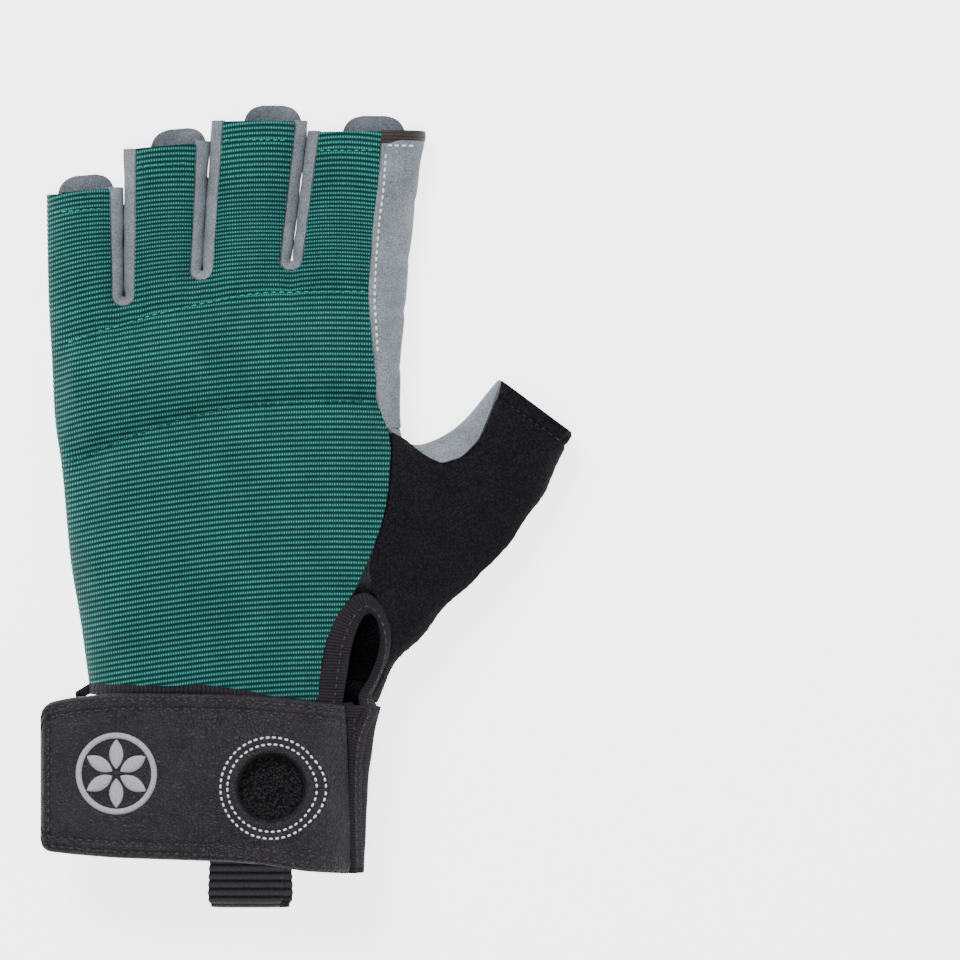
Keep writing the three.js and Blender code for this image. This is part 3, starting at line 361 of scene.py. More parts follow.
def wrist_edge(y):
    return np.interp(-y, -WRIST_LINE[:, 1], WRIST_LINE[:, 0])


def across_at(rows, y, blur):
    """How far across the hand the line of a table passes a height."""
    return look(rows, "up", y / BACK_LENGTH, "across", blur) * HAND_WIDTH


def back_edge(y):
    return across_at(BACK_EDGE, y, EDGE_BLUR)


# Where the thumb's shape takes over from the hand's, in shares of its length and width
BLEND_ALONG = (0.25, 0.8)
BLEND_ASIDE = (-1.1, -0.6)


def thumb_weight(x, y):
    away = pair(x, y) - THUMB_ROOT
    along = (away @ THUMB_AXIS) / THUMB_LENGTH
    aside = (away @ THUMB_SIDE) / THUMB_WIDTH
    return smoothstep(along, *BLEND_ALONG) * smoothstep(aside, *BLEND_ASIDE)


def hand_height(y):
    return look(HEIGHTS, "up", y / BACK_LENGTH, "height", HEIGHT_BLUR) * HAND_HEIGHT


def top_height(x, y):
    crown = look(HEIGHTS, "up", y / BACK_LENGTH, "crown", HEIGHT_BLUR) * CROWN * HAND_HEIGHT
    hand = hand_height(y) - crown * (x / (HAND_WIDTH / 2)) ** 2
    return lerp(hand, THUMB_HEIGHT, thumb_weight(x, y))


def seam_height(x, y):
    return SEAM_SHARE * lerp(hand_height(y), THUMB_HEIGHT, thumb_weight(x, y))


def round_at(x, y, side):
    hand = look(HEIGHTS, "up", y / BACK_LENGTH, "round", HEIGHT_BLUR) * HAND_HEIGHT
    radius = lerp(hand, THUMB_ROUND, thumb_weight(x, y))
    return np.where(side > 0, radius, radius * UNDER_ROUND)


def floor_height(y):
    return (WEBBING_WALL + SEAM_GAP) * smoothstep(-y, -0.09 * BACK_LENGTH, -0.045 * BACK_LENGTH)


def skin(x, y, side):
    """Outer surface over points of the plan and its normal: side is 1 for the back, -1 for the palm."""
    x, y, side = np.broadcast_arrays(np.asarray(x, float), np.asarray(y, float), side)
    inset, out, _ = nearest_edge(x, y)
    radius = round_at(x, y, side)
    cosine = 1 - np.minimum(inset / radius, 1)
    sine = np.sqrt(1 - cosine**2)
    seam = seam_height(x, y)
    reach = np.where(side > 0, top_height(x, y) - seam, seam - floor_height(y))
    slope = cosine * reach / radius
    normal = np.stack([out[..., 0] * slope, out[..., 1] * slope, side * sine], -1)
    normal /= np.maximum(np.linalg.norm(normal, axis=-1, keepdims=True), 1e-9)
    point = np.stack([x, y, seam + side * reach * sine], -1)
    return point, normal, inset


def ripple(x, y, size, seed, count=7):
    """Smooth seeded unevenness of about one unit, with waves of about the given size."""
    draw = np.random.default_rng(seed)
    total = np.zeros(np.shape(x))
    for _ in range(count):
        angle = draw.uniform(0, math.tau)
        wave = size * draw.uniform(0.7, 1.6)
        start = draw.uniform(0, math.tau)
        total += np.sin((x * math.cos(angle) + y * math.sin(angle)) * math.tau / wave + start)
    return total / math.sqrt(count)


# The quilted knuckle band and the soft unevenness of the back
def quilt_row(x, y):
    across = x / HAND_WIDTH
    up = y / BACK_LENGTH
    lower = look(LOWER_QUILT, "across", across, "up", QUILT_BLUR)
    upper = look(UPPER_QUILT, "across", across, "up", QUILT_BLUR)
    return (up - lower) / (upper - lower)


# Widths of the dips along the quilted seams in shares of the row, and the puckers along them
LOWER_SEAM = 0.085
LOWER_DIP = 0.22
UPPER_SEAM = 0.11
LOWER_PUCKERS = 7.5
UPPER_PUCKERS = 6.5
PUCKER_DEPTH = 0.28


def back_relief(x, y, inset):
    row = quilt_row(x, y)
    lower_seam = 1.2 * hump(row, LOWER_SEAM) + 0.6 * hump(row, LOWER_DIP)
    upper_seam = hump(row - 1, UPPER_SEAM)
    puff = np.sin(math.pi * np.clip(row, 0, 1))
    pucker = np.sin(x * math.tau / LOWER_PUCKERS + 1.5 * ripple(x, y, 30, 5)) * hump(row, 0.35)
    pucker += np.sin(x * math.tau / UPPER_PUCKERS + 1.0) * hump(row - 1, 0.4)
    relief = QUILT_PUFF * puff - QUILT_DEPTH * lower_seam - 0.9 * QUILT_DEPTH * upper_seam
    relief += PUCKER_DEPTH * pucker + 0.4 * ripple(x, y, 26, 3)
    return relief * smoothstep(inset, 1, 7)


def finger_of(x, y):
    """Index of the finger over or below which a point lies."""
    finger = np.zeros(np.shape(x), int)
    for slot in range(3):
        finger += x > slot_at(slot, y)[0]
    return finger


def finger_span(finger, y):
    """Left and right edge of each point's finger."""
    lefts = np.stack([ulnar_edge(y)] + [slot_at(slot, y)[0] for slot in range(3)])
    rights = np.stack([slot_at(slot, y)[0] for slot in range(3)] + [back_edge(y)])
    return np.take_along_axis(lefts, finger[None], 0)[0], np.take_along_axis(rights, finger[None], 0)[0]


RIB_STEP = 0.5
RIB_X = np.arange(-60.0, 60.0, RIB_STEP)
RIB_SLOPE = np.tan(np.radians(np.interp(RIB_X, RIB_TILT["x"], RIB_TILT["tilt"])))
RIB_RISE = np.cumsum(RIB_SLOPE) * RIB_STEP


def rib_phase(x, y):
    """Number of ribs up the back: they slope across the hand and arch over each finger."""
    finger = finger_of(x, y)
    left, right = finger_span(finger, y)
    share = np.clip(2 * (x - left) / (right - left) - 1, -1.2, 1.2)
    arch = 0.8 * share**2 * smoothstep(y, 0.8 * BACK_LENGTH, 1.15 * BACK_LENGTH)
    rise = np.interp(x, RIB_X, RIB_RISE) * (1 - 0.5 * smoothstep(y, 0.95 * BACK_LENGTH, 1.2 * BACK_LENGTH))
    return (y - rise + arch) / RIB_PITCH + 100


def rib_relief(phase):
    """Height of the ribs by their number."""
    return RIB_HEIGHT * (np.sin(math.pi * phase) ** 2 - 0.5)


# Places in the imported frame: the pull loop's box gives the shift of the glove's plan
LOOP_CENTRE = 0.066 * HAND_WIDTH
loop_low, loop_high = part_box("pull_loop")
LOOP_X = (loop_low.x + loop_high.x) / 2 / MM
SHIFT = np.array([LOOP_X - LOOP_CENTRE, loop_low.y / MM + CUFF_LENGTH + WEBBING_REACH, 0.0])


# Turn over which an edge of a mesh stays crisp
RIM_ANGLE = math.radians(50)


def make_mesh(name, points, faces, uv=None):
    """A mesh object from points in millimetres of the plan, with a map named weave in millimetres."""
    mesh = bpy.data.meshes.new(name)
    faces = np.asarray(faces, np.int32)
    corners = faces.shape[1]
    mesh.vertices.add(len(points))
    mesh.vertices.foreach_set("co", ((points + SHIFT) * MM).astype(np.float32).ravel())
    mesh.loops.add(faces.size)
    mesh.loops.foreach_set("vertex_index", faces.ravel())
    mesh.polygons.add(len(faces))
    mesh.polygons.foreach_set("loop_start", np.arange(len(faces), dtype=np.int32) * corners)
    mesh.update(calc_edges=True)
    if uv is not None:
        layer = mesh.uv_layers.new(name="weave")
        layer.uv.foreach_set("vector", uv[faces.ravel()].astype(np.float32).ravel())
    mesh.validate()
    mesh.shade_smooth()
    made = bpy.data.objects.new(name, mesh)
    bpy.context.scene.collection.objects.link(made)
    return made


def inside_volume(points, faces):
    """Six times the volume inside a closed mesh, below zero where its faces look inwards."""
    first, second, third, fourth = (points[faces[:, corner]] for corner in range(4))
    half = (np.cross(second - first, third - first) * first).sum()
    return half + (np.cross(third - first, fourth - first) * first).sum()


# Cells beside a grid cell, and its corners, both as steps of row and column in turn round it
SIDES = ((-1, 0), (0, 1), (1, 0), (0, -1))
CORNERS = ((0, 0), (0, 1), (1, 1), (1, 0))


def sheet(name, points, normals, wall, uv, mask, step):
    """A sheet of even thickness over a grid: a fine outer layer, a coarser inner one and a rim."""
    height, width = points.shape[:2]
    solid = np.ones((height - 1, width - 1), bool) if mask is None else mask
    index = np.arange(height * width).reshape(height, width)
    inner = index + height * width

    def cells(grid, chosen):
        rows, columns = np.nonzero(chosen)
        corner = (grid[rows, columns], grid[rows, columns + 1])
        return np.stack([*corner, grid[rows + 1, columns + 1], grid[rows + 1, columns]], 1)

    outer_faces = cells(index, solid)
    coarse = inner[::step, ::step]
    coarse_solid = solid[::step, ::step][: coarse.shape[0] - 1, : coarse.shape[1] - 1]
    inner_faces = cells(coarse, coarse_solid)[:, ::-1]
    padded = np.pad(solid, 1)
    rim = []
    for turn, beside in enumerate(SIDES):
        beyond = np.roll(padded, (-beside[0], -beside[1]), (0, 1))[1:-1, 1:-1]
        rows, columns = np.nonzero(solid & ~beyond)
        first, second = CORNERS[turn], CORNERS[(turn + 1) % 4]
        start = (rows + first[0], columns + first[1])
        end = (rows + second[0], columns + second[1])
        rim.append(np.stack([index[end], index[start], inner[start], inner[end]], 1))
    faces = np.vstack([outer_faces, inner_faces, *rim])
    both = np.vstack([points.reshape(-1, 3), (points - wall * normals).reshape(-1, 3)])
    if inside_volume(both, faces) < 0:
        faces = faces[:, ::-1]
    used, packed = np.unique(faces, return_inverse=True)
    map_points = np.tile(uv.reshape(-1, 2), (2, 1))[used]
    made = make_mesh(name, both[used], packed.reshape(faces.shape), map_points)
    made.data.set_sharp_from_angle(angle=RIM_ANGLE)
    return made


def dress(made, looks, slot, *nodes):
    made.data.materials.append(looks)
    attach(made, "root")
    if nodes:
        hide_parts(*nodes)


# Node materials
class Value:
    """A number of a node tree, to be reckoned with like a plain number."""

    def __init__(self, tree, socket):
        self.tree = tree
        self.socket = socket

    def worked(self, operation, other=0.0):
        made = add(self.tree, "ShaderNodeMath", {0: self, 1: other}, operation=operation)
        return Value(self.tree, made.outputs[0])

    def __add__(self, other):
        return self.worked("ADD", other)

    def __mul__(self, other):
        return self.worked("MULTIPLY", other)

    def __pow__(self, other):
        return self.worked("POWER", other)

    def sine(self):
        return self.worked("SINE")

    def ridges(self):
        """Rounded ridges with sharp grooves between them, two for each turn."""
        return self.sine().worked("ABSOLUTE")


def add(tree, kind, links=None, **settings):
    made = tree.nodes.new(kind)
    for key, value in settings.items():
        setattr(made, key, value)
    for key, value in (links or {}).items():
        value = value.socket if isinstance(value, Value) else value
        if isinstance(value, bpy.types.NodeSocket):
            tree.links.new(value, made.inputs[key])
        else:
            made.inputs[key].default_value = value
    return made


def blank(name):
    made = bpy.data.materials.new(name)
    made.use_nodes = True
    made.node_tree.nodes.clear()
    return made, made.node_tree


def object_place(tree):
    return add(tree, "ShaderNodeTexCoord").outputs["Object"]


def noise(tree, scale, detail, roughness):
    links = {"Vector": object_place(tree), "Scale": scale, "Detail": detail, "Roughness": roughness}
    return Value(tree, add(tree, "ShaderNodeTexNoise", links).outputs["Fac"])


def pebbles(tree, scale, randomness, feature="F1"):
    links = {"Vector": object_place(tree), "Scale": scale, "Randomness": randomness}
    return Value(tree, add(tree, "ShaderNodeTexVoronoi", links, feature=feature).outputs["Distance"])


def ramp(tree, value, *stops):
    """Colours by value: stops are (place, colour)."""
    made = add(tree, "ShaderNodeValToRGB", {"Fac": value})
    elements = made.color_ramp.elements
    while len(elements) < len(stops):
        elements.new(0.5)
    for element, (place, colour) in zip(elements, stops):
        element.position = place
        element.color = (*colour, 1)
    return made.outputs["Color"]


def speckle(tree, colour, value, low, high, share):
    """Lightens and darkens a colour by a noise."""
    tones = ramp(tree, value, (0.3, (low,) * 3), (0.7, (high,) * 3))
    links = {0: share, 6: colour, 7: tones}
    return add(tree, "ShaderNodeMix", links, data_type="RGBA", blend_type="MULTIPLY").outputs[2]


def weave_axes(tree):
    """The map's two coordinates, in millimetres or ribs."""
    place = add(tree, "ShaderNodeUVMap", uv_map="weave").outputs[0]
    split = add(tree, "ShaderNodeSeparateXYZ", {0: place})
    return Value(tree, split.outputs[0]), Value(tree, split.outputs[1])


# Depth of a bump, in metres
BUMP = 0.00022


def finish(made, colour, roughness, height, specular, depth=BUMP):
    """Closes a material: its colour, its gloss and the bumps of its height."""
    tree = made.node_tree
    bump = add(tree, "ShaderNodeBump", {"Height": height, "Distance": depth})
    links = {"Base Color": colour, "Roughness": roughness, "Normal": bump.outputs[0]}
    links["Specular IOR Level"] = specular
    shader = add(tree, "ShaderNodeBsdfPrincipled", links)
    output = add(tree, "ShaderNodeOutputMaterial")
    tree.links.new(shader.outputs[0], output.inputs[0])
    return made


def ribbed_fabric():
    """Rows of small loops in columns up the fabric, with painted highlight on the loop tops and painted shade
    in the grooves between the rows.
    """
    made, tree = blank("ribbed_green_fabric")
    across, ribs = weave_axes(tree)
    grain = noise(tree, 2600, 2, 0.6)
    cloud = noise(tree, 90, 3, 0.55)
    sway = noise(tree, 260, 2, 0.5)
    ridge = (ribs * math.pi).ridges()
    cell = (across * (math.tau / CELL_PITCH) + sway * 3.0).sine() * 0.5 + 0.5
    light = (cell * 0.85 + 0.2) * ridge**2.2
    # Painted shade and highlight: the colour follows the ribs' relief, dark where the ground between the ribs
    # lies low and light on the loop tops.
    shaded_ground = ((0.0, (0.0006, 0.024, 0.022)), (0.25, (0.0022, 0.060, 0.054)))
    loops = ((0.55, (0.013, 0.128, 0.115)), (1.0, (0.075, 0.300, 0.275)))
    colour = ramp(tree, light, *shaded_ground, *loops)
    colour = speckle(tree, colour, cloud, 0.8, 1.2, 0.7)
    colour = speckle(tree, colour, grain, 0.65, 1.4, 0.6)
    return finish(made, colour, 0.8, ridge**0.8 + cell * 0.6 + grain * 0.2, 0.15)


def suede(name, light, dark):
    """Short nap with soft lighter and darker patches."""
    made, tree = blank(name)
    nap = noise(tree, 2300, 4, 0.75)
    cloud = noise(tree, 160, 4, 0.6)
    patch = noise(tree, 45, 2, 0.5)
    colour = ramp(tree, cloud * 0.6 + patch * 0.4, (0.34, dark), (0.64, light))
    colour = speckle(tree, colour, nap, 0.35, 1.65, 0.9)
    return finish(made, colour, 0.95, nap + cloud * 0.8, 0.1)


def black_knit(name, scale, light, dark):
    """Brushed black loops, with painted highlight on the loop tops and painted shade in the hollows between
    them.
    """
    made, tree = blank(name)
    loops = pebbles(tree, scale, 0.9)
    fuzz = noise(tree, 3400, 4, 0.75)
    cloud = noise(tree, 110, 3, 0.5)
    # Painted highlight and shade: the colour runs from light at each loop's top to dark in the hollows,
    # following its relief.
    colour = ramp(tree, loops, (0.0, light), (0.6, dark))
    colour = speckle(tree, colour, fuzz, 0.35, 2.0, 0.8)
    colour = speckle(tree, colour, cloud, 0.8, 1.25, 0.7)
    return finish(made, colour, 0.95, loops * -0.9 + fuzz * 0.8, 0.08)


def banded(name, pitch, slope, colour, groove, depth, roughness=0.8):
    """Black textile with ribs: pitch along the map's second axis in millimetres, sloped for a twill. The
    groove colour is painted shade in the grooves between the ribs.
    """
    made, tree = blank(name)
    across, along = weave_axes(tree)
    ridge = ((along * (1 / pitch) + across * (slope / pitch)) * math.pi).ridges()
    threads = (across * (math.pi / THREAD_PITCH)).ridges()
    grain = noise(tree, 2400, 3, 0.65)
    # Painted shade: the tone darkens from the rib colour to the groove colour where the ribs dip.
    tone = ramp(tree, ridge, (0.0, groove), (0.8, colour))
    tone = speckle(tree, tone, grain, 0.55, 1.5, 0.7)
    return finish(made, tone, roughness, ridge**0.6 + threads * 0.22 + grain * 0.25, 0.2, depth)


def black_leather():
    """Fine pebbles with creases between them and a low shine."""
    made, tree = blank("black_grained_leather")
    cells = pebbles(tree, 1100.0, 1.0, "DISTANCE_TO_EDGE")
    crease = Value(tree, ramp(tree, cells, (0.0, (0.0,) * 3), (0.2, (1.0,) * 3)))
    grain = noise(tree, 1800, 4, 0.6)
    cloud = noise(tree, 120, 3, 0.5)
    colour = ramp(tree, cloud, (0.3, (0.0085, 0.0075, 0.0100)), (0.7, (0.0150, 0.0132, 0.0175)))
    colour = speckle(tree, colour, grain, 0.7, 1.4, 0.4)
    return finish(made, colour, grain * 0.25 + 0.28, crease * 0.6 + grain * 0.8, 0.24)


def thread(name, colour, dark):
    made, tree = blank(name)
    grain = noise(tree, 2500, 3, 0.6)
    tone = ramp(tree, grain, (0.3, dark), (0.65, colour))
    return finish(made, tone, 0.6, grain, 0.3, 0.00008)


GREEN = ribbed_fabric()
SUEDE = suede("grey_suede", (0.215, 0.240, 0.268), (0.130, 0.145, 0.168))
TAB = suede("dark_grey_suede", (0.165, 0.180, 0.208), (0.088, 0.097, 0.115))
# The knit and the loop pile: their lighter colour is painted highlight on the loop tops, their darker one
# painted shade between the loops.
KNIT = black_knit("black_brushed_knit", 1500, (0.0165, 0.0145, 0.0185), (0.0055, 0.005, 0.0065))
LOOP_PILE = black_knit("black_loop_pile", 1700, (0.030, 0.030, 0.032), (0.003, 0.003, 0.0035))
# Ribbed and banded black textiles: the first colour of each is its tone, the second is painted shade for its
# grooves.
BINDING = banded("black_ribbed_binding", 1.15, 0.0, (0.014, 0.012, 0.016), (0.004, 0.0035, 0.005), 0.0002)
PILE_TONE_AND_GROOVE_SHADE = ((0.017, 0.0145, 0.019), (0.007, 0.006, 0.008))
PILE_BINDING = banded("black_pile_binding", 0.8, 0.0, *PILE_TONE_AND_GROOVE_SHADE, 0.0002, 0.95)
TWILL = banded("black_twill_elastic", 1.8, 0.8, (0.019, 0.018, 0.020), (0.005, 0.005, 0.005), 0.00025)
WEB_TONE_AND_GROOVE_SHADE = ((0.052, 0.052, 0.057), (0.008, 0.008, 0.0085))
WEB = banded("black_ribbed_webbing", WEB_PITCH, 0.0, *WEB_TONE_AND_GROOVE_SHADE, 0.0004, 0.5)
HERRINGBONE = banded("black_tape", TAPE_PITCH, 0.7, (0.022, 0.022, 0.024), (0.005, 0.005, 0.005), 0.0002)
DARK_HEM = banded("dark_hem_binding", 0.9, 0.0, (0.032, 0.026, 0.024), (0.014, 0.011, 0.010), 0.00015, 0.6)
LEATHER = black_leather()
GREEN_THREAD = thread("green_thread", (0.012, 0.33, 0.20), (0.003, 0.17, 0.10))
DARK_THREAD = thread("dark_green_thread", (0.006, 0.10, 0.07), (0.001, 0.03, 0.025))
WHITE_THREAD = thread("pale_thread", (0.88, 0.89, 0.90), (0.60, 0.61, 0.63))
GREY_THREAD = thread("grey_thread", (0.46, 0.48, 0.52), (0.25, 0.27, 0.30))
STRAP_THREAD = thread("dark_violet_thread", (0.055, 0.042, 0.052), (0.006, 0.005, 0.006))
BLACK_THREAD = thread("black_thread", (0.018, 0.017, 0.02), (0.005, 0.005, 0.006))
SATIN = thread("grey_satin_thread", (0.40, 0.38, 0.44), (0.24, 0.225, 0.27))


def cover(name, point, normal, wall, uv, looks, slot, node, mask=None, step=1):
    """Covers one solid with a sheet of its own thickness."""
    dress(sheet(name, point, normal, wall, uv, mask, step), looks, slot, node)


def on_skin(grid, side):
    """Plan coordinates, points and normals over a grid of plan points."""
    x, y = grid[..., 0], grid[..., 1]
    point, normal, _ = skin(x, y, side)
    return x, y, point, normal


# Rows from an outer edge inwards, evenly spaced over the surface as it turns over
def from_edge(edge, inner, side, cells):
    """Plan points of shape (rows, cells + 1, 2), from the edge to the inner line."""
    gap = inner - edge
    length = np.linalg.norm(gap, axis=-1)
    radius = round_at(edge[..., 0], edge[..., 1], side)
    turned = np.arccos(1 - np.minimum(length / radius, 1))
    arc = radius * turned
    total = arc + np.maximum(length - radius, 0)
    run = np.linspace(0, 1, cells + 1) * total[..., None]
    round_part = radius[..., None] * (1 - np.cos(np.minimum(run, arc[..., None]) / radius[..., None]))
    inset = round_part + np.maximum(run - arc[..., None], 0)
    share = inset / np.maximum(length, 1e-6)[..., None]
    return edge[..., None, :] + gap[..., None, :] * share[..., None]


def turn_inset(y, side, degrees):
    zero = np.zeros(np.shape(y))
    return round_at(zero, y, side) * (1 - np.cos(np.radians(degrees)))


def finger_end(finger, x, short):
    left = ulnar_edge(BACK_LENGTH) if finger == 0 else SLOTS["tip_across"][finger - 1] * HAND_WIDTH
    return BACK_LENGTH + FINGERS["length"][finger] + FINGERS["slant"][finger] * (x - left) - short


def slot_line(slot, y, direction, reveal):
    centre, half = slot_at(slot, y)
    return centre + direction * (half + reveal)


# Number of a column that lies over a slot, where no finger goes on up
OVER_SLOT = -1


def hand_columns(right_edge, turns, side, cells, slot_cells):
    """Columns of a panel: finger, angle of the turned edge, share of the finger, and place at its root."""
    arcs = []
    for slot in range(3):
        top = SLOTS["up"][slot] * BACK_LENGTH + 1
        arcs.append(slot_path(slot, REVEAL + SEAM_GAP, top, top, 1, slot_cells)[1 : slot_cells + 2])
    low = SLOTS["up"][0] * BACK_LENGTH
    high = SLOTS["up"][2] * BACK_LENGTH
    left = ulnar_edge(low)
    starts = [(left + turn_inset(low, side, turns[-1]), low)] + [arc[slot_cells] for arc in arcs]
    ends = [arc[0] for arc in arcs] + [(right_edge(high), high)]
    columns = [(0, angle, 0, left, low) for angle in turns]
    for finger in range(4):
        shares = np.arange(1 if finger == 0 else 0, cells + 1) / cells
        places = lerp(np.array(starts[finger]), np.array(ends[finger]), shares[:, None])
        columns += [(finger, np.nan, share, *place) for share, place in zip(shares, places)]
        if finger < 3:
            columns += [(OVER_SLOT, np.nan, 0, *place) for place in arcs[finger][1:slot_cells]]
    fingers, angles, shares, x, y = np.array(columns, float).T
    return fingers.astype(int), angles, shares, pair(x, y)


def hand_grid(rows, bottom, right_edge, turns, side, short, cells, slot_cells, finger_rows):
    """Plan grid of a panel with four half-fingers: points, the side of each column and the mask."""
    reveal = REVEAL + SEAM_GAP
    fingers, angles, shares, roots = hand_columns(right_edge, turns, side, cells, slot_cells)
    is_turn = ~np.isnan(angles)
    column_side = np.where(is_turn & (angles < 0), -side, side)

    def turned(y):
        degrees = np.abs(np.nan_to_num(angles))
        return ulnar_edge(y) + turn_inset(y, column_side, degrees)

    def inner_edge(y):
        return ulnar_edge(y) + turn_inset(y, side, turns[-1])

    left_root = ulnar_edge(roots[0, 1])
    turn_root = turn_inset(roots[0, 1], side, turns[-1])
    root_share = (roots[:, 0] - left_root - turn_root) / (roots[-1, 0] - left_root - turn_root)
    x = np.tile(roots[:, 0], (len(rows), 1))
    for _ in range(SETTLE_ROUNDS):
        y = lerp(bottom(x), roots[:, 1], rows[:, None])
        x = np.where(is_turn, turned(y), lerp(inner_edge(y), right_edge(y), root_share))
    body = pair(x, y)
    ends = np.array([finger_end(max(finger, 0), root[0], short) for finger, root in zip(fingers, roots)])
    upper = []
    for share in finger_rows:
        y = lerp(roots[:, 1], ends, share)
        left = np.where(fingers == 0, inner_edge(y), 0)
        right = np.where(fingers == 3, right_edge(y), 0)
        for slot in range(3):
            left = np.where(fingers == slot + 1, slot_line(slot, y, 1, reveal), left)
            right = np.where(fingers == slot, slot_line(slot, y, -1, reveal), right)
        upper.append(pair(np.where(is_turn, turned(y), lerp(left, right, shares)), y))
    grid = np.concatenate([body, np.array(upper)])
    mask = np.ones((len(grid) - 1, len(fingers) - 1), bool)
    mask[len(rows) - 1 :] = (fingers[1:] == fingers[:-1]) & (fingers[1:] != OVER_SLOT)
    return grid, np.broadcast_to(column_side, grid.shape[:2]), mask


def hem_top(x, blur=HEM_BLUR):
    return look(HEM, "across", x / HAND_WIDTH, "up", blur) * BACK_LENGTH


def back_cover():
    under = np.linspace(-SEAM_TURN, 0, 5)[:-1]
    grid, side, mask = hand_grid(
        rows=np.linspace(0, 1, 334),
        bottom=hem_top,
        right_edge=lambda y: back_edge(y) - SEAM_GAP,
        turns=np.concatenate([under, np.linspace(0, 58, 9)]),
        side=1,
        short=0,
        cells=27,
        slot_cells=12,
        finger_rows=np.linspace(0, 1, 103)[1:],
    )
    x, y = grid[..., 0], grid[..., 1]
    point, normal, inset = skin(x, y, side)
    phase = rib_phase(x, y)
    relief = back_relief(x, y, inset) * (side > 0) + rib_relief(phase)
    point = point + normal * relief[..., None]
    uv = pair(x, phase)
    cover("back_cover", point, normal, BACK_WALL, uv, GREEN, "green_fabric", "back_panel", mask, step=3)


# Lines of the black panel: its outer edge, its seam on the back and its edge underneath
def unit(vectors):
    return vectors / np.linalg.norm(vectors, axis=-1, keepdims=True)


def trace(points, places, blur=0.35, corner=-9):
    """Places along a line by its point numbers, averaged a little, with its ends and one corner kept."""
    last = len(points) - 1
    places = np.clip(places, 0, last)
    reach = np.minimum(blur, np.minimum(places, last - places))
    reach = np.minimum(reach, np.abs(places - corner))
    numbers = np.arange(len(points))
    moved = [
        [np.interp(places + reach * step, numbers, points[:, axis]) for axis in (0, 1)] for step in BLUR_STEPS
    ]
    return np.moveaxis(np.mean(moved, axis=0), 0, -1)


def offset_line(points, away):
    """A line moved sideways by a distance, to the right of its direction."""
    along = unit(np.gradient(points, axis=0))
    return points + away * pair(along[:, 1], -along[:, 0])


def black_lines():
    """Outer edge, seam on the back and edge underneath, from the wrist to the thumb's end."""
    wrist = hand_line(WRIST_OUTER)[::-1][-4:]
    edge = np.vstack([wrist, thumb_line(THUMB_OUTER)[::-1][:-1]])
    seam = hand_line(THUMB_SEAM)
    sloped = unit(pair(-np.ones(len(seam)), THUMB_SEAM["rise"]))
    risen = (np.arange(len(seam)) < RISEN_ROWS)[:, None]
    inward = np.where(risen, sloped, unit(seam - edge))
    under = edge + inward * THUMB_SEAM["wrap"][:, None] * THUMB_WIDTH
    return edge, seam, under


# Upper end of the black panel, between the back and the crotch
BLACK_TIP = np.array([0.479 * HAND_WIDTH, 0.609 * BACK_LENGTH])
BLACK_EDGE, BLACK_SEAM, BLACK_UNDER = black_lines()
BLACK_LAST = len(BLACK_EDGE) - 1
CORNER = hand_line(RADIAL)[-1]


def palm_side(y):
    """Right edge of the palm beside the crotch and the index finger, where the sides turn under."""
    return across_at(RADIAL, y, PANEL_BLUR) - REVEAL - SUEDE_WALL


def palm_right(y):
    line = np.vstack([BLACK_UNDER[:6], [palm_side(CORNER[1]), CORNER[1]]])
    lower = np.interp(y, line[:, 1], line[:, 0])
    return np.where(y >= CORNER[1], palm_side(y), lower) - 2.5 * SEAM_GAP


# Quiet unevenness and creases of the softer pieces
def edge_dip(grid_shape, axis, first, last, depth, cells):
    """Depth of the dip beside a sewn border, by the number of cells from it."""
    count = grid_shape[axis]
    numbers = np.arange(count)
    dip = np.zeros(count)
    if first:
        dip += hump(numbers, cells)
    if last:
        dip += hump(count - 1 - numbers, cells)
    shape = [1, 1]
    shape[axis] = count
    return depth * dip.reshape(shape)


def lift(point, normal, relief):
    """Raises a surface by its relief; where it faces down it only sinks, so it stays off the floor."""
    down = smoothstep(-normal[..., 2], 0.0, 0.6)
    return point + normal * (relief - down * np.maximum(relief, 0))[..., None]


def overlay_depth(x, y):
    start = OVERLAY["up"][0] * BACK_LENGTH
    return np.minimum(x - across_at(OVERLAY, np.maximum(y, start), PANEL_BLUR), y - start)


# Creases of the palm: height, slope and depth; and of the index finger's side: height and depth
PALM_CREASES = ((88, 0.1, 0.35), (101, 0.12, 0.3), (118, 0.05, 0.25), (60, -0.35, 0.3))
INDEX_CREASES = ((84, 0.2), (99, 0.3), (113, 0.2), (128, 0.25))


def palm_relief(x, y):
    """The palm is pressed in under the overlay and creased across the finger roots and the hollow."""
    pressed = (SUEDE_WALL + 2 * SEAM_GAP) * smoothstep(overlay_depth(x, y), -12, -6)
    crease = 0.0
    for height, slope, deep in PALM_CREASES:
        away = y - height - slope * x + 1.2 * ripple(x, y, 40, int(height))
        crease = crease + deep * hump(away, 1.3)
    return -pressed - crease - 0.10 * np.abs(ripple(x, y, 16, 11)) - 0.15


def palm_spot(x, y):
    point, normal, _ = skin(x, y, -1)
    return lift(point, normal, palm_relief(x, y)), normal


def palm_cover():
    grid, _, mask = hand_grid(
        rows=np.linspace(0, 1, 97),
        bottom=lambda x: np.full(np.shape(x), PALM_HEM * BACK_LENGTH),
        right_edge=palm_right,
        turns=np.array([SEAM_TURN + 8, 52, 62, 71, 80, 90], float),
        side=-1,
        short=FRONT_SHORT,
        cells=18,
        slot_cells=9,
        finger_rows=np.linspace(0, 1, 31)[1:],
    )
    point, normal = palm_spot(grid[..., 0], grid[..., 1])
    cover("palm_cover", point, normal, SUEDE_WALL, grid, SUEDE, "suede", "palm_panel", mask, step=3)


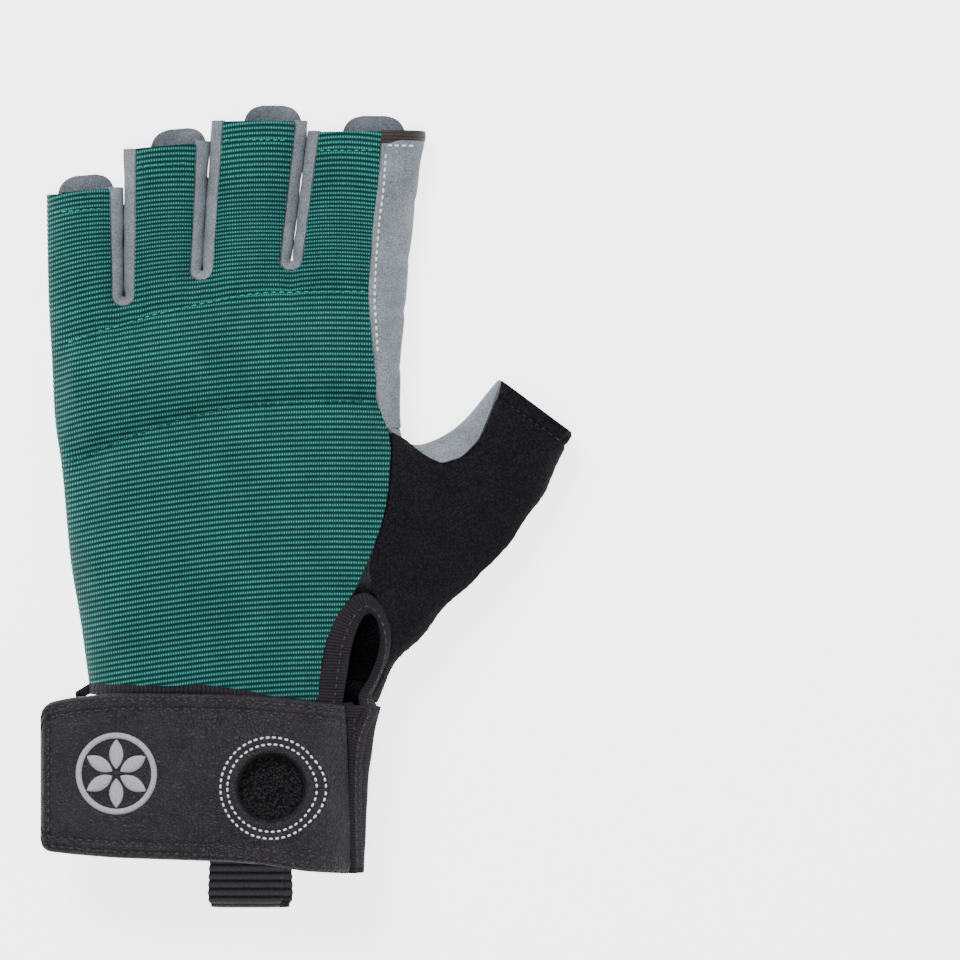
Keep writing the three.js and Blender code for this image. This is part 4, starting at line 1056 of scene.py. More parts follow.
def two_sided(edge, top, under, top_cells, under_cells):
    """Plan points over an edge, from the top line to the line underneath, with the side of each column."""
    back = from_edge(edge, top, 1, top_cells)[:, ::-1]
    front = from_edge(edge, under, -1, under_cells)[:, 1:]
    grid = np.concatenate([back, front], 1)
    side = np.where(np.arange(grid.shape[1]) <= top_cells, 1, -1)
    return grid, np.broadcast_to(side, grid.shape[:2])


# The thumb's open end: where it is along the thumb, its hem and the hem's ridges
THUMB_END = 0.99 * THUMB_LENGTH
THUMB_HEM = 3.2
HEM_RIDGE = 0.26
HEM_PITCH = 1.6


def end_distance(x, y):
    """Distance from the thumb's open end, back along the thumb."""
    along = (pair(x, y) - THUMB_ROOT) @ THUMB_AXIS
    return THUMB_END - along


def knit_relief(x, y):
    """Loose cloth with a fold at the wrist and a ribbed hem at the thumb's end."""
    away = end_distance(x, y)
    aside = (pair(x, y) - THUMB_ROOT) @ THUMB_SIDE
    hem = smoothstep(-away, -THUMB_HEM - 0.3, -THUMB_HEM + 0.5)
    ridges = HEM_RIDGE * np.sin(aside * math.tau / HEM_PITCH + 0.8 * ripple(x, y, 9, 23)) * hem
    groove = hump(away - THUMB_HEM, 0.5)
    fold = hump((x - 52) * 0.55 + (y - 40) * 0.85, 2.2)
    fold = fold * smoothstep(-np.abs(x - 58), -16, -4)
    loose = 0.3 * ripple(x, y, 17, 21) + 0.06 * ripple(x, y, 1.7, 22, 14)
    return loose + 0.45 * hem + ridges - 0.4 * groove - 0.45 * fold


# The black panel: how far it tucks in under the palm, the row at its tip and how far its rows bend
BLACK_TUCK = 3.0
CORNER_ROW = 8
BEND = 6.5
BLACK_CELLS = 40


def bend_rows(grid, places, top_cells):
    """Lowers the rows between the outer edge and the tip, so that none of them crosses the crotch."""
    along = hump(places - CORNER_ROW, 1.1)
    across = np.sin(math.pi * np.linspace(0, 1, top_cells + 1)) ** 2
    bent = grid.copy()
    bent[:, : top_cells + 1, 1] -= BEND * along[:, None] * across
    return bent


def thumb_back_cover():
    places = np.linspace(0, BLACK_LAST, 225)
    edge = snap(trace(BLACK_EDGE, places))
    seam = BLACK_SEAM.copy()
    seam[CORNER_ROW] = BLACK_TIP
    top = trace(offset_line(seam, 0.4 * SEAM_GAP), places, corner=CORNER_ROW)
    under = trace(BLACK_UNDER, places)
    reach = BLACK_TUCK * smoothstep(-places, -5.5, -4.5)[:, None]
    under = under + unit(edge - under) * (SEAM_GAP - reach)
    grid, side = two_sided(edge, top, under, BLACK_CELLS, 22)
    grid = bend_rows(grid, places, BLACK_CELLS)
    grid[0] += unit(grid[0] - grid[4]) * 4 * SEAM_GAP
    x, y, point, normal = on_skin(grid, side)
    relief = knit_relief(x, y) - edge_dip(x.shape, 1, True, True, 0.5, 1.6)
    inwards = np.linalg.norm(grid - grid[:, -1:], axis=2)
    tucked = smoothstep(reach - inwards, -0.6, 0.6) * (side < 0) * (reach > 0.5)
    point = lift(point, normal, relief - 1.6 * SUEDE_WALL * tucked)
    cover("thumb_back_cover", point, normal, KNIT_WALL, grid, KNIT, "black_knit", "thumb_back_panel", step=2)


def thumb_front_lines():
    """Inner edge, seam on the back and edge underneath, from the index side round to the thumb's end."""
    start = OVERLAY["up"][0] * BACK_LENGTH - SEAM_GAP
    edge_start = [[radial_edge(start), start], CORNER]
    top_start = [[back_edge(start) - SEAM_GAP, start], BLACK_TIP]
    low_start = [[palm_side(start), start], [palm_side(CORNER[1]), CORNER[1]]]
    rows = np.arange(len(THUMB_FRONT["under"]))
    steps = np.linspace(0, rows[-1], 64)
    seam = offset_line(BLACK_SEAM, -1.2 * SEAM_GAP)
    inner = trace(thumb_line(THUMB_INNER), np.interp(steps, rows, THUMB_FRONT["inner"]), 0.2)
    under = trace(BLACK_UNDER, np.interp(steps, rows, THUMB_FRONT["under"]), 0.2)
    over = trace(seam, np.interp(steps, rows, THUMB_FRONT["over"]), 0.2)
    bridge = np.linspace(0, 1, 9)[:-1, None]

    def joined(begin, line):
        first, second = (np.array(point) for point in begin)
        return np.vstack([lerp(first, second, bridge), lerp(second, line[0], bridge), line])

    edge = snap(joined(edge_start, inner))
    low = joined(low_start, under)
    return edge, joined(top_start, over), low + unit(edge - low) * SEAM_GAP


def thumb_front_cover():
    edge, top, under = thumb_front_lines()
    grid, side = two_sided(edge, top, under, 10, 24)
    x, y, point, normal = on_skin(grid, side)
    relief = 0.22 * ripple(x, y, 13, 31) - edge_dip(x.shape, 1, True, True, 0.35, 1.5)
    point = lift(point, normal, relief - edge_dip(x.shape, 0, True, False, 0.35, 3))
    cover("thumb_front_cover", point, normal, SUEDE_WALL, grid, SUEDE, "suede", "thumb_front_panel", step=2)


def index_grid(levels):
    edge = pair(radial_edge(levels), levels)
    top = pair(back_edge(levels) - SEAM_GAP, levels)
    under = pair(across_at(OVERLAY, levels, OVERLAY_BLUR), levels)
    return two_sided(edge, top, under, 12, 22)


def index_relief(x, y):
    crease = 0.0
    for height, deep in INDEX_CREASES:
        crease = crease + deep * hump(y - height + 0.2 * (x - 45), 1.4)
    return 0.14 * ripple(x, y, 15, 41) - crease


def index_side_cover():
    start = OVERLAY["up"][0] * BACK_LENGTH - 3 * SEAM_GAP
    end = BACK_LENGTH + FINGERS["length"][3] - HEM_WIDTH + 2 * SEAM_GAP
    grid, side = index_grid(np.linspace(start, end, 97))
    x, y, point, normal = on_skin(grid, side)
    point = lift(point, normal, index_relief(x, y) - edge_dip(x.shape, 1, True, False, 0.4, 1.5))
    cover("index_side_cover", point, normal, SUEDE_WALL, grid, SUEDE, "suede", "index_side_panel", step=2)


def index_hem_cover():
    end = BACK_LENGTH + FINGERS["length"][3]
    levels = np.linspace(end - HEM_WIDTH, end + SEAM_GAP, 9)
    grid, side = index_grid(levels)
    x, _, point, normal = on_skin(grid, side)
    roll = np.sin(math.pi * np.linspace(0.05, 0.95, len(levels)))[:, None]
    point = lift(point, normal, 0.35 * roll - 0.1 + 0.0 * x)
    cover("index_hem_cover", point, normal, SUEDE_WALL, grid, DARK_HEM, "hem_binding", "index_hem")


def strip_insets(side, width, cells):
    """Insets from a slot's face that are evenly spaced over the surface, for a strip of the given width."""
    radius = float(round_at(0.0, 1.15 * BACK_LENGTH, side))
    turn = math.acos(1 - width / radius)
    return radius * (1 - np.cos(np.linspace(0, turn, cells)))


CREASE = 0.12


def slot_rise(slot):
    bottom = SLOTS["up"][slot] * BACK_LENGTH
    return bottom, bottom + 1.5


def fourchette_cover(slot):
    width = REVEAL - SEAM_GAP / 2
    middle = SLOTS["tip_across"][slot] * HAND_WIDTH
    left_top = finger_end(slot, middle, 0) + SEAM_GAP
    right_top = finger_end(slot + 1, middle, 0) + SEAM_GAP
    backs = [(inset, 1) for inset in strip_insets(1, width, 9)[::-1]]
    fronts = [(inset, -1) for inset in strip_insets(-1, width, 7)[1:]]
    points, normals, plans = [], [], []
    for number, (inset, side) in enumerate(backs + fronts):
        path = slot_path(slot, inset, left_top, right_top, 42, 16)
        point, normal, _ = skin(path[:, 0], path[:, 1], side)
        puff = 0.35 * math.sin(math.pi * min(number / 8, 1)) - 0.3 * math.exp(-number)
        half = slot_at(slot, path[:, 1])[1]
        closing = (half - CREASE) * math.exp(-((inset / 0.9) ** 2)) * smoothstep(path[:, 1], *slot_rise(slot))
        relief = puff + closing + 0.12 * ripple(path[:, 0] * 2, path[:, 1], 9, 50 + slot)
        points.append(lift(point, normal, relief))
        normals.append(normal)
        plans.append(path)
    made = np.array(points), np.array(normals), SUEDE_WALL, np.array(plans)
    between = SLOT_NAMES[slot]
    cover(f"fourchette_cover_{between}", *made, SUEDE, "suede", f"fourchette_{between}")


def tab_cover(finger):
    ups = np.linspace(0, 1, 15) ** 0.8 * 0.985
    cells = np.linspace(-1, 1, 25)
    half = FINGERS["tab_width"][finger] * HAND_WIDTH / 2 * (1 - ups**3) ** (1 / 3)
    x = FINGERS["tab_across"][finger] * HAND_WIDTH + half[:, None] * cells
    y = finger_end(finger, x, FRONT_SHORT) + SEAM_GAP + TAB_LENGTH * ups[:, None]
    z = 0.25 * (1 + ripple(x, y, 8, 60 + finger)) * ups[:, None]
    point = np.stack([x, y, np.maximum(z, 0)], -1)
    normal = np.zeros_like(point)
    normal[..., 2] = -1
    finger_name = FINGER_NAMES[finger]
    uv = pair(x, y)
    cover(f"tab_cover_{finger_name}", point, normal, SUEDE_WALL, uv, TAB, "tab_suede", f"tab_{finger_name}")


# Bindings round the wrist
def rolled(shares, height):
    """A round roll over the shares of a binding's width."""
    return height * np.sin(math.pi * np.clip(shares, 0.03, 0.97))


HEM_WING = 3.6


def back_hem_cover():
    shares = np.linspace(0, 1, 9)
    left = ulnar_edge(0.0)
    right = look(VENT, "outer_up", 0.0, "outer_across") * HAND_WIDTH - SEAM_GAP
    x = np.tile(np.linspace(left - HEM_WING, right, 141), (len(shares), 1))
    y = hem_top(x) + SEAM_GAP - (BINDING_WIDTH + SEAM_GAP) * (1 - shares[:, None])
    y = y - 0.6 * np.maximum(left - x, 0)
    point, normal, _ = skin(np.maximum(x, left + 0.2), y, 1)
    point[..., 0] = x
    flat = smoothstep(left - x, -1.5, 0)[..., None]
    normal = unit(lerp(normal, np.array([0.0, 0.0, 1.0]), flat))
    point = lift(point, normal, rolled(shares, 0.5)[:, None] + 0.0 * x)
    uv = pair(y, x)
    cover("back_hem_cover", point, normal, BINDING_WALL, uv, BINDING, "ribbed_binding", "back_hem_binding")


def palm_hem_cover():
    shares = np.linspace(0, 1, 9)
    top = PALM_HEM * BACK_LENGTH - SEAM_GAP
    left = ulnar_edge(top) + turn_inset(top, -1, 70)
    right = palm_right(top + 1) - 2 * SEAM_GAP
    x = np.tile(np.linspace(left, right, 121), (len(shares), 1))
    y = top - BINDING_WIDTH * (1 - shares[:, None]) + 0.0 * x
    point, normal, _ = skin(x, y, -1)
    point = lift(point, normal, rolled(shares, 0.3)[:, None] - 0.3 + 0.0 * x)
    uv = pair(y, x)
    cover("palm_hem_cover", point, normal, BINDING_WALL, uv, BINDING, "ribbed_binding", "palm_hem_binding")


VENT_TAIL = table(
    "outer_across outer_up inner_across inner_up",
    (0.388, -0.064, 0.363, -0.052), (0.368, -0.112, 0.342, -0.104), (0.359, -0.164, 0.334, -0.162),
    (0.356, -0.245, 0.331, -0.245), (0.356, -0.327, 0.331, -0.327), (0.357, -0.412, 0.332, -0.412),
)
VENT_ROWS = 181
VENT_BLUR = 0.45
VENT_RIDGE = 0.8
VENT_STITCH_ROW = 0.62


def vent_lines():
    """Outer and inner line of the slit's binding; its right leg ends on the strap's sewn end."""
    places = np.linspace(0, len(VENT["outer_up"]) + len(VENT_TAIL["outer_up"]) - 1, VENT_ROWS)
    lines = []
    for line in ("outer", "inner"):
        across = np.concatenate([rows[f"{line}_across"] for rows in (VENT, VENT_TAIL)])
        up = np.concatenate([rows[f"{line}_up"] for rows in (VENT, VENT_TAIL)])
        lines.append(trace(pair(across * HAND_WIDTH, up * BACK_LENGTH), places, VENT_BLUR))
    return lines


# Left edge of the slit's right leg where it climbs onto the strap's sewn end, and that end's height
VENT_LEFT = 30.3
ANCHOR_LIFT = 2 * SEAM_GAP + LOOP_PATCH_WALL + ANCHOR_WALL


def vent_spot(x, y):
    """The slit's binding lies on the skin, and its right leg on the strap's sewn end."""
    point, normal, _ = skin(x, y, 1)
    over, _ = strap_seat(x, y, ANCHOR_LIFT + 0.4)
    left = VENT_LEFT + 0.12 * np.minimum(y + 5.0, 0)
    onto = smoothstep(-y, 1.0, 5.0) * smoothstep(x, left, left + 0.8)
    return lerp(point, over, onto[..., None]), normal


def vent_cover():
    outer, inner = vent_lines()
    outer = outer - unit(inner - outer) * 1.5 * SEAM_GAP
    shares = np.linspace(0, 1, 13)
    grid = lerp(outer[:, None], inner[:, None], shares[None, :, None])
    x, y = grid[..., 0], grid[..., 1]
    point, normal = vent_spot(x, y)
    ridge = 0.55 * hump(shares - VENT_RIDGE, 0.2)
    roll = rolled(shares, 0.35) + ridge - 0.35 * hump(shares, 0.12)
    point = lift(point, normal, roll[None] + 0.1 * ripple(x, y, 8, 71))
    length = np.concatenate([[0], np.cumsum(np.linalg.norm(np.diff(grid[:, 6], axis=0), axis=1))])
    uv = pair(np.broadcast_to(shares * 4, x.shape), np.broadcast_to(length[:, None], x.shape))
    cover("vent_cover", point, normal, BINDING_WALL, uv, PILE_BINDING, "ribbed_binding", "vent_binding")


def inset_at(length, radius, share):
    """Inset from the edge at a share of the surface's length, as the surface turns over."""
    turned = np.arccos(1 - np.minimum(length / radius, 1))
    arc = radius * turned
    run = share * (arc + np.maximum(length - radius, 0))
    return radius * (1 - np.cos(np.minimum(run, arc) / radius)) + np.maximum(run - arc, 0)


# How far the cuff reaches up inside the black panel, and its parts round the wrist: number, cells,
# and the shares of its width at which a part starts and ends
CUFF_TUCK = 4.0
CUFF_PARTS = ((0, 8, 1, 0), (1, 34, 0, 1), (2, 34, 1, 0), (3, 42, 0, 1))


def cuff_columns():
    """Part and share of each column round the cuff, from the slit round the palm and back."""
    parts, shares = [], []
    for part, cells, start, end in CUFF_PARTS:
        run = np.linspace(start, end, cells + 1)
        run = run if part == 0 else run[1:]
        parts += [part] * len(run)
        shares += list(run)
    return np.array(parts), np.array(shares)


def cuff_x(y, parts, shares):
    right = wrist_edge(y)
    left = ulnar_edge(y)
    middle = (left + right) / 2
    up = y / BACK_LENGTH
    lower = {key: values[5:] for key, values in VENT.items()}
    upper = {key: values[:5] for key, values in VENT.items()}
    slit_right = np.minimum(look(lower, "inner_up", up, "outer_across") * HAND_WIDTH, right - CUFF_WALL)
    slit_left = look(upper, "inner_up", up, "inner_across") * HAND_WIDTH - 1.5
    over = round_at(0 * y, y, 1)
    under = round_at(0 * y, y, -1)
    places = (
        right - inset_at(right - slit_right, over, shares),
        right - inset_at(right - middle, under, shares),
        left + inset_at(middle - left, under, shares),
        left + inset_at(slit_left - left, over, shares),
    )
    return np.choose(parts, places)


def cuff_top(x, side):
    """Upper edge of the cuff, which follows the hems and the black panel."""
    back = hem_top(x, 0.0) - BINDING_WIDTH - 3 * SEAM_GAP
    palm = PALM_HEM * BACK_LENGTH - BINDING_WIDTH - 3 * SEAM_GAP
    edge, corner = BLACK_EDGE[0], BLACK_UNDER[0]
    radial_top = edge[1] - 3 * SEAM_GAP
    over = lerp(back, radial_top, smoothstep(x, 0.3 * HAND_WIDTH, 0.36 * HAND_WIDTH))
    beside = lerp(radial_top, palm, (edge[0] - x) / (edge[0] - corner[0]))
    inner = lerp(back, palm, smoothstep(x, -0.4 * HAND_WIDTH, -0.3 * HAND_WIDTH))
    return np.where(side > 0, over, np.where(x > corner[0], beside, inner))


def cuff_cover():
    parts, column = cuff_columns()
    side = np.where((parts == 0) | (parts == 3), 1, -1)
    rows = np.linspace(0, 1, 41)[:, None]
    tucked = np.where(parts == 1, 1 - column, 1.0)
    y = lerp(-CUFF_LENGTH, 0.0, rows) + 0.0 * column
    for _ in range(SETTLE_ROUNDS):
        x = cuff_x(y, parts, column)
        y = lerp(-CUFF_LENGTH, cuff_top(x, side) + CUFF_TUCK * (parts <= 1) * tucked, rows)
    x = cuff_x(y, parts, column)
    point, normal, _ = skin(x, y, side)
    tuck = (parts <= 1) * smoothstep(y, cuff_top(x, side) - 1.0, cuff_top(x, side)) * tucked
    relief = 0.18 * ripple(x + point[..., 2], y, 12, 81) - 0.1 - 1.7 * tuck
    run = np.linalg.norm(np.diff(point, axis=1), axis=2)
    length = np.concatenate([np.zeros((len(x), 1)), np.cumsum(run, 1)], 1)
    uv = pair(length, y)
    point = lift(point, normal, relief)
    cover("cuff_cover", point, normal, CUFF_WALL, uv, TWILL, "cuff_elastic", "cuff_elastic")


# The closing strap
def corner_cut(length, radius):
    """How far a rounded corner cuts into the edge, at a length from the end."""
    inside = np.clip(1 - length / radius, 0, 1)
    return radius * (1 - np.sqrt(1 - inside**2))


def strap_place(along, up):
    """Plan point at a share of the strap's length and width."""
    length = STRAP_LENGTH * along
    x = STRAP_RIGHT * HAND_WIDTH - STRAP_LENGTH + length
    low_cut, high_cut = (corner_cut(length, radius) / STRAP_WIDTH for radius in STRAP_CORNERS)
    low = look(STRAP, "along", along, "low", PANEL_BLUR) + low_cut
    high = look(STRAP, "along", along, "high", PANEL_BLUR) - high_cut
    return x, STRAP_BASE * BACK_LENGTH + STRAP_WIDTH * lerp(low, high, up)


def strap_seat(x, y, height):
    """A place at a height over the skin, kept level towards the strap's free end."""
    point, normal, _ = skin(x, y, 1)
    flat = (x <= 0)[..., None]
    level = np.stack([x, y, top_height(x, y)], -1)
    normal = np.where(flat, np.array([0.0, 0.0, 1.0]), normal)
    return np.where(flat, level, point) + normal * height, normal


STRAP_LIFT = 2 * SEAM_GAP + LOOP_PATCH_WALL + STRAP_WALL
HOLE_X, HOLE_Y = strap_place(CLIP_ALONG, CLIP_UP)
STRAP_ROWS = (1.6, 4.0)
RING_RADII = (11.25, 13.05)
LEFT_ROW = 2.2
GROOVE_DEPTH = 0.3
GROOVE_WIDTH = 0.45


def strap_relief(x, y):
    """Turned edges, the grooves of the stitch rows and the raised rim of the hole."""
    left = x - strap_place(0.0, 0.5)[0]
    along = left / STRAP_LENGTH
    bottom = y - strap_place(along, 0.0)[1]
    top = strap_place(along, 1.0)[1] - y
    border = np.minimum(np.minimum(bottom, top), left)
    relief = -0.7 * np.clip(1 - border / 1.2, 0, 1) ** 2 + 0.22 * ripple(x, y, 22, 91)
    for row in STRAP_ROWS:
        for away in (bottom, top):
            relief = relief - GROOVE_DEPTH * hump(away - row, GROOVE_WIDTH)
    relief = relief + 0.15 * hump(np.minimum(bottom, top) - 2.8, 0.7)
    relief = relief - 0.25 * hump(left - LEFT_ROW, GROOVE_WIDTH)
    away = np.hypot(x - HOLE_X, y - HOLE_Y)
    rim = CLIP_HOLE / 2
    relief = relief + 0.5 * smoothstep(-away, -14.8, -13.4)
    relief = relief + 0.35 * hump(away - rim - 1.5, 0.9)
    relief = relief - 1.3 * np.clip(1 - (away - rim) / 1.3, 0, 1) ** 2
    for radius in RING_RADII:
        relief = relief - GROOVE_DEPTH * hump(away - radius, 0.4)
    return relief


RIM_STEPS = np.array([0.0, 0.12, 0.3, 0.55, 0.9, 1.3])
WARP_REACH = 15.5
STRAP_STEP = 0.6
ON_GRID = 1e-4


def lines_round_hole(start, end, low, high, first_steps=()):
    """Places from start to end with lines on both sides of the hole and close ones beside it."""
    step = STRAP_STEP
    before = np.arange(low - RIM_STEPS[-1] - step, start + step / 2, -step)[::-1]
    after = np.arange(high + RIM_STEPS[-1] + step, end - step / 2, step)
    across = np.linspace(low, high, int((high - low) / step) + 1)[1:-1]
    parts = [[start], first_steps, before, low - RIM_STEPS[::-1], across, high + RIM_STEPS, after, [end]]
    return np.unique(np.concatenate(parts))


def strap_grid():
    """Plan points whose lines bend into a circle round the hole, and the mask."""
    radius = CLIP_HOLE / 2
    left = strap_place(0.0, 0.5)[0]
    low, high = STRAP_BASE * BACK_LENGTH, STRAP_BASE * BACK_LENGTH + STRAP_WIDTH
    right = left + STRAP_LENGTH
    close = left + np.arange(1, 7) * 0.4
    xs = lines_round_hole(left, right, HOLE_X - radius, HOLE_X + radius, close)
    ys = lines_round_hole(low, high, HOLE_Y - radius, HOLE_Y + radius)
    along = (xs - left) / STRAP_LENGTH
    start, end = strap_place(along, 0.0)[1], strap_place(along, 1.0)[1]
    near = smoothstep(-np.abs(xs - HOLE_X), -26, -WARP_REACH)
    share = (ys[:, None] - low) / STRAP_WIDTH
    spread = lerp(start, end, share)
    knots = np.array([low, HOLE_Y - WARP_REACH, HOLE_Y + WARP_REACH, high])
    level = np.array([
        np.interp(ys, knots, [first, knots[1], knots[2], last]) for first, last in zip(start, end)
    ]).T
    x = np.broadcast_to(xs, spread.shape)
    y = lerp(spread, level, near)
    dx, dy = x - HOLE_X, y - HOLE_Y
    reach = np.maximum(np.abs(dx), np.abs(dy))
    round_share = 1 - smoothstep(reach, radius, WARP_REACH)
    scale = lerp(1.0, reach / np.maximum(np.hypot(dx, dy), 1e-6), round_share)
    x, y = HOLE_X + dx * scale, HOLE_Y + dy * scale
    inside_x = (xs[:-1] > HOLE_X - radius - ON_GRID) & (xs[1:] < HOLE_X + radius + ON_GRID)
    inside_y = (ys[:-1] > HOLE_Y - radius - ON_GRID) & (ys[1:] < HOLE_Y + radius + ON_GRID)
    return x, y, ~(inside_y[:, None] & inside_x[None])


def strap_cover():
    x, y, mask = strap_grid()
    point, normal = strap_seat(x, y, STRAP_LIFT)
    point = lift(point, normal, strap_relief(x, y))
    uv = pair(x, y)
    cover("strap_cover", point, normal, STRAP_WALL, uv, LEATHER, "black_leather", "cuff_strap", mask)


# The patch under the strap, in shares of the strap
PATCH_ALONG = (0.3, 0.94)
PATCH_UP = (0.12, 0.88)


def loop_patch_cover():
    along = np.tile(np.linspace(*PATCH_ALONG, 90), (45, 1))
    up = np.tile(np.linspace(*PATCH_UP, 45)[:, None], (1, 90))
    x, y = strap_place(along, up)
    point, normal = strap_seat(x, y, SEAM_GAP + LOOP_PATCH_WALL)
    point = lift(point, normal, 0.12 * ripple(x, y, 1.4, 95, 16))
    uv = pair(x, y)
    cover("loop_patch_cover", point, normal, LOOP_PATCH_WALL, uv, LOOP_PILE, "loop_patch", "loop_patch")


# Share of the strap's sewn end that its first roll takes, and the stitch rows on that roll
ANCHOR_SPLIT = 0.52
ANCHOR_ROWS = (0.4, 0.85)


def anchor_spot(up, share):
    strap_end, y = strap_place(np.ones(np.shape(up)), up)
    outer = wrist_edge(y) - ANCHOR_WALL
    x = lerp(strap_end + SEAM_GAP, outer, share)
    point, normal = strap_seat(x, y, ANCHOR_LIFT)
    roll = 0.5 * np.abs(np.sin(math.pi * share / ANCHOR_SPLIT)) * (share < ANCHOR_SPLIT)
    beside = 0.25 * np.sin(math.pi * (share - ANCHOR_SPLIT) / (1 - ANCHOR_SPLIT)) * (share >= ANCHOR_SPLIT)
    return lift(point, normal, roll + beside + 0.1 * ripple(x, y, 9, 97)), normal, x, y


def anchor_cover():
    up = np.tile(np.linspace(0, 1, 61)[:, None], (1, 17))
    share = np.tile(np.linspace(0, 1, 17), (61, 1))
    point, normal, x, y = anchor_spot(up, share)
    uv = pair(x, y)
    cover("anchor_cover", point, normal, ANCHOR_WALL, uv, PILE_BINDING, "ribbed_binding", "strap_anchor")


# Webbing and tapes: a flat run under the cuff, a fold and the run back
def tape_cover(name, centre, width, wall, reach, sewn, pitch, looks, skew):
    fold = 3 * wall
    low = -CUFF_LENGTH - reach
    back = -CUFF_LENGTH - SEAM_GAP - 0.2
    step = pitch / 6
    lower_run = np.arange(-sewn, low + fold / 2, -step)
    turns = np.linspace(-math.pi / 2, -3 * math.pi / 2, 15)[1:-1]
    upper_run = np.arange(low + fold / 2, back, step)
    y = np.concatenate([lower_run, low + fold / 2 + fold / 2 * np.cos(turns), upper_run])
    z = np.concatenate([0 * lower_run, fold / 2 + fold / 2 * np.sin(turns), 0 * upper_run + fold])
    normal_y = np.concatenate([0 * lower_run, np.cos(turns), 0 * upper_run])
    normal_z = np.concatenate([0 * lower_run - 1, np.sin(turns), 0 * upper_run + 1])
    length = np.concatenate([[0], np.cumsum(np.hypot(np.diff(y), np.diff(z)))])
    ribs = 0.14 * wall * (np.abs(np.sin(math.pi * length / pitch)) ** 0.7 - 1)
    shares = np.linspace(-1, 1, 15)
    shape = (len(y), len(shares))
    sway = skew * smoothstep(-y, CUFF_LENGTH - 6, CUFF_LENGTH + reach) * np.where(z > fold / 2, 1, -0.9)
    narrow = 1 - 0.1 * hump(y - low, 1.2 * wall) - 0.012 * np.cos(math.tau * length / pitch)
    edges = -0.12 * wall * np.abs(shares) ** 6
    normal = np.stack([np.zeros(len(y)), normal_y, normal_z], -1)[:, None] * np.ones((1, len(shares), 1))
    x = centre + shares * width / 2 * narrow[:, None] + sway[:, None]
    point = np.stack([x, np.broadcast_to(y[:, None], shape), np.broadcast_to(z[:, None], shape)], -1)
    relief = ribs[:, None] + edges
    uv = pair(x, np.broadcast_to(length[:, None], shape))
    cover(f"{name}_cover", lift(point, normal, relief), normal, wall, uv, looks, "webbing", name)


# Stitches: short rounded strands laid along a line of the plan, each of a few rings of points
STITCH_RINGS = np.array([0.0, 0.12, 0.5, 0.88, 1.0])
STITCH_GIRTH = np.array([0.25, 0.8, 1.0, 0.8, 0.25])
STITCH_HEIGHT = np.array([-0.5, 0.0, 0.35, 0.0, -0.5])
STITCH_SIDES = 6


def stitch_starts(path, spacing):
    """Length along a path at each of its points, and where each stitch starts."""
    steps = np.linalg.norm(np.diff(path, axis=0), axis=1)
    length = np.concatenate([[0], np.cumsum(steps)])
    count = max(int(length[-1] / spacing), 1)
    return length, np.arange(count) * spacing


def strands(name, paths, surface, looks, slot, length, gap, width=STITCH_WIDTH):
    """Rows of stitches over lines of the plan: surface gives the point and normal over plan points."""
    angle = np.arange(STITCH_SIDES) * math.tau / STITCH_SIDES
    side = np.arange(STITCH_SIDES)
    following = (side + 1) % STITCH_SIDES
    first = np.arange(len(STITCH_RINGS) - 1)[:, None] * STITCH_SIDES
    second = first + STITCH_SIDES
    faces = np.stack([first + side, first + following, second + following, second + side], -1).reshape(-1, 4)
    points = []
    for path in paths:
        run, starts = stitch_starts(path, length + gap)
        for start in starts:
            places = start + STITCH_RINGS * length
            x, y = (np.interp(places, run, path[:, axis]) for axis in (0, 1))
            point, normal = surface(x, y)
            along = unit(point[-1] - point[0])
            across = unit(np.cross(normal, along))
            centre = (point + normal * (STITCH_HEIGHT[:, None] * width))[:, None]
            wide = across[:, None] * (np.cos(angle) * width / 2)[None, :, None]
            high = normal[:, None] * (np.sin(angle) * width / 2)[None, :, None]
            points.append((centre + (wide + high) * STITCH_GIRTH[:, None, None]).reshape(-1, 3))
    bases = np.arange(len(points))[:, None, None] * len(points[0])
    made = make_mesh(name, np.vstack(points), (bases + faces).reshape(-1, 4))
    dress(made, looks, slot)


def back_surface(x, y):
    point, normal, inset = skin(x, y, 1)
    return lift(point, normal, back_relief(x, y, inset) + 0.15), normal


# Height of the stitches over the two rolled bindings
VENT_STITCH_LIFT = 0.75
ANCHOR_STITCH_LIFT = 0.45


def vent_surface(x, y):
    point, normal = vent_spot(x, y)
    return point + normal * VENT_STITCH_LIFT, normal


def anchor_surface(x, y):
    point, normal = strap_seat(x, y, ANCHOR_LIFT)
    return point + normal * ANCHOR_STITCH_LIFT, normal


def anchor_paths():
    up = np.linspace(0.03, 0.97, 60)
    rows = []
    for share in ANCHOR_ROWS:
        _, _, x, y = anchor_spot(up, np.full(60, share * ANCHOR_SPLIT))
        rows.append(pair(x, y))
    return rows


def vent_path():
    outer, inner = vent_lines()
    return lerp(outer, inner, VENT_STITCH_ROW)


def palm_surface(x, y):
    point, normal = palm_spot(x, y)
    return point + normal * 0.05, normal


def strap_surface(x, y):
    point, normal = strap_seat(x, y, STRAP_LIFT)
    return lift(point, normal, strap_relief(x, y) + 0.05), normal


def quilt_path(curve):
    x = np.linspace(ulnar_edge(0.6 * BACK_LENGTH) + 3, back_edge(0.7 * BACK_LENGTH) - 1.0, 90)
    y = look(curve, "across", x / HAND_WIDTH, "up", QUILT_BLUR) * BACK_LENGTH
    return pair(x, y)


FINGER_ROW = 5.0


def row_across(finger, top, left, right, aside):
    """Places of a row across one finger, from one edge of the hand or slot to the next."""
    start = left if finger == 0 else slot_line(finger - 1, top, 1, REVEAL + aside)
    end = right if finger == 3 else slot_line(finger, top, -1, REVEAL + aside)
    return np.linspace(start, end, 20)


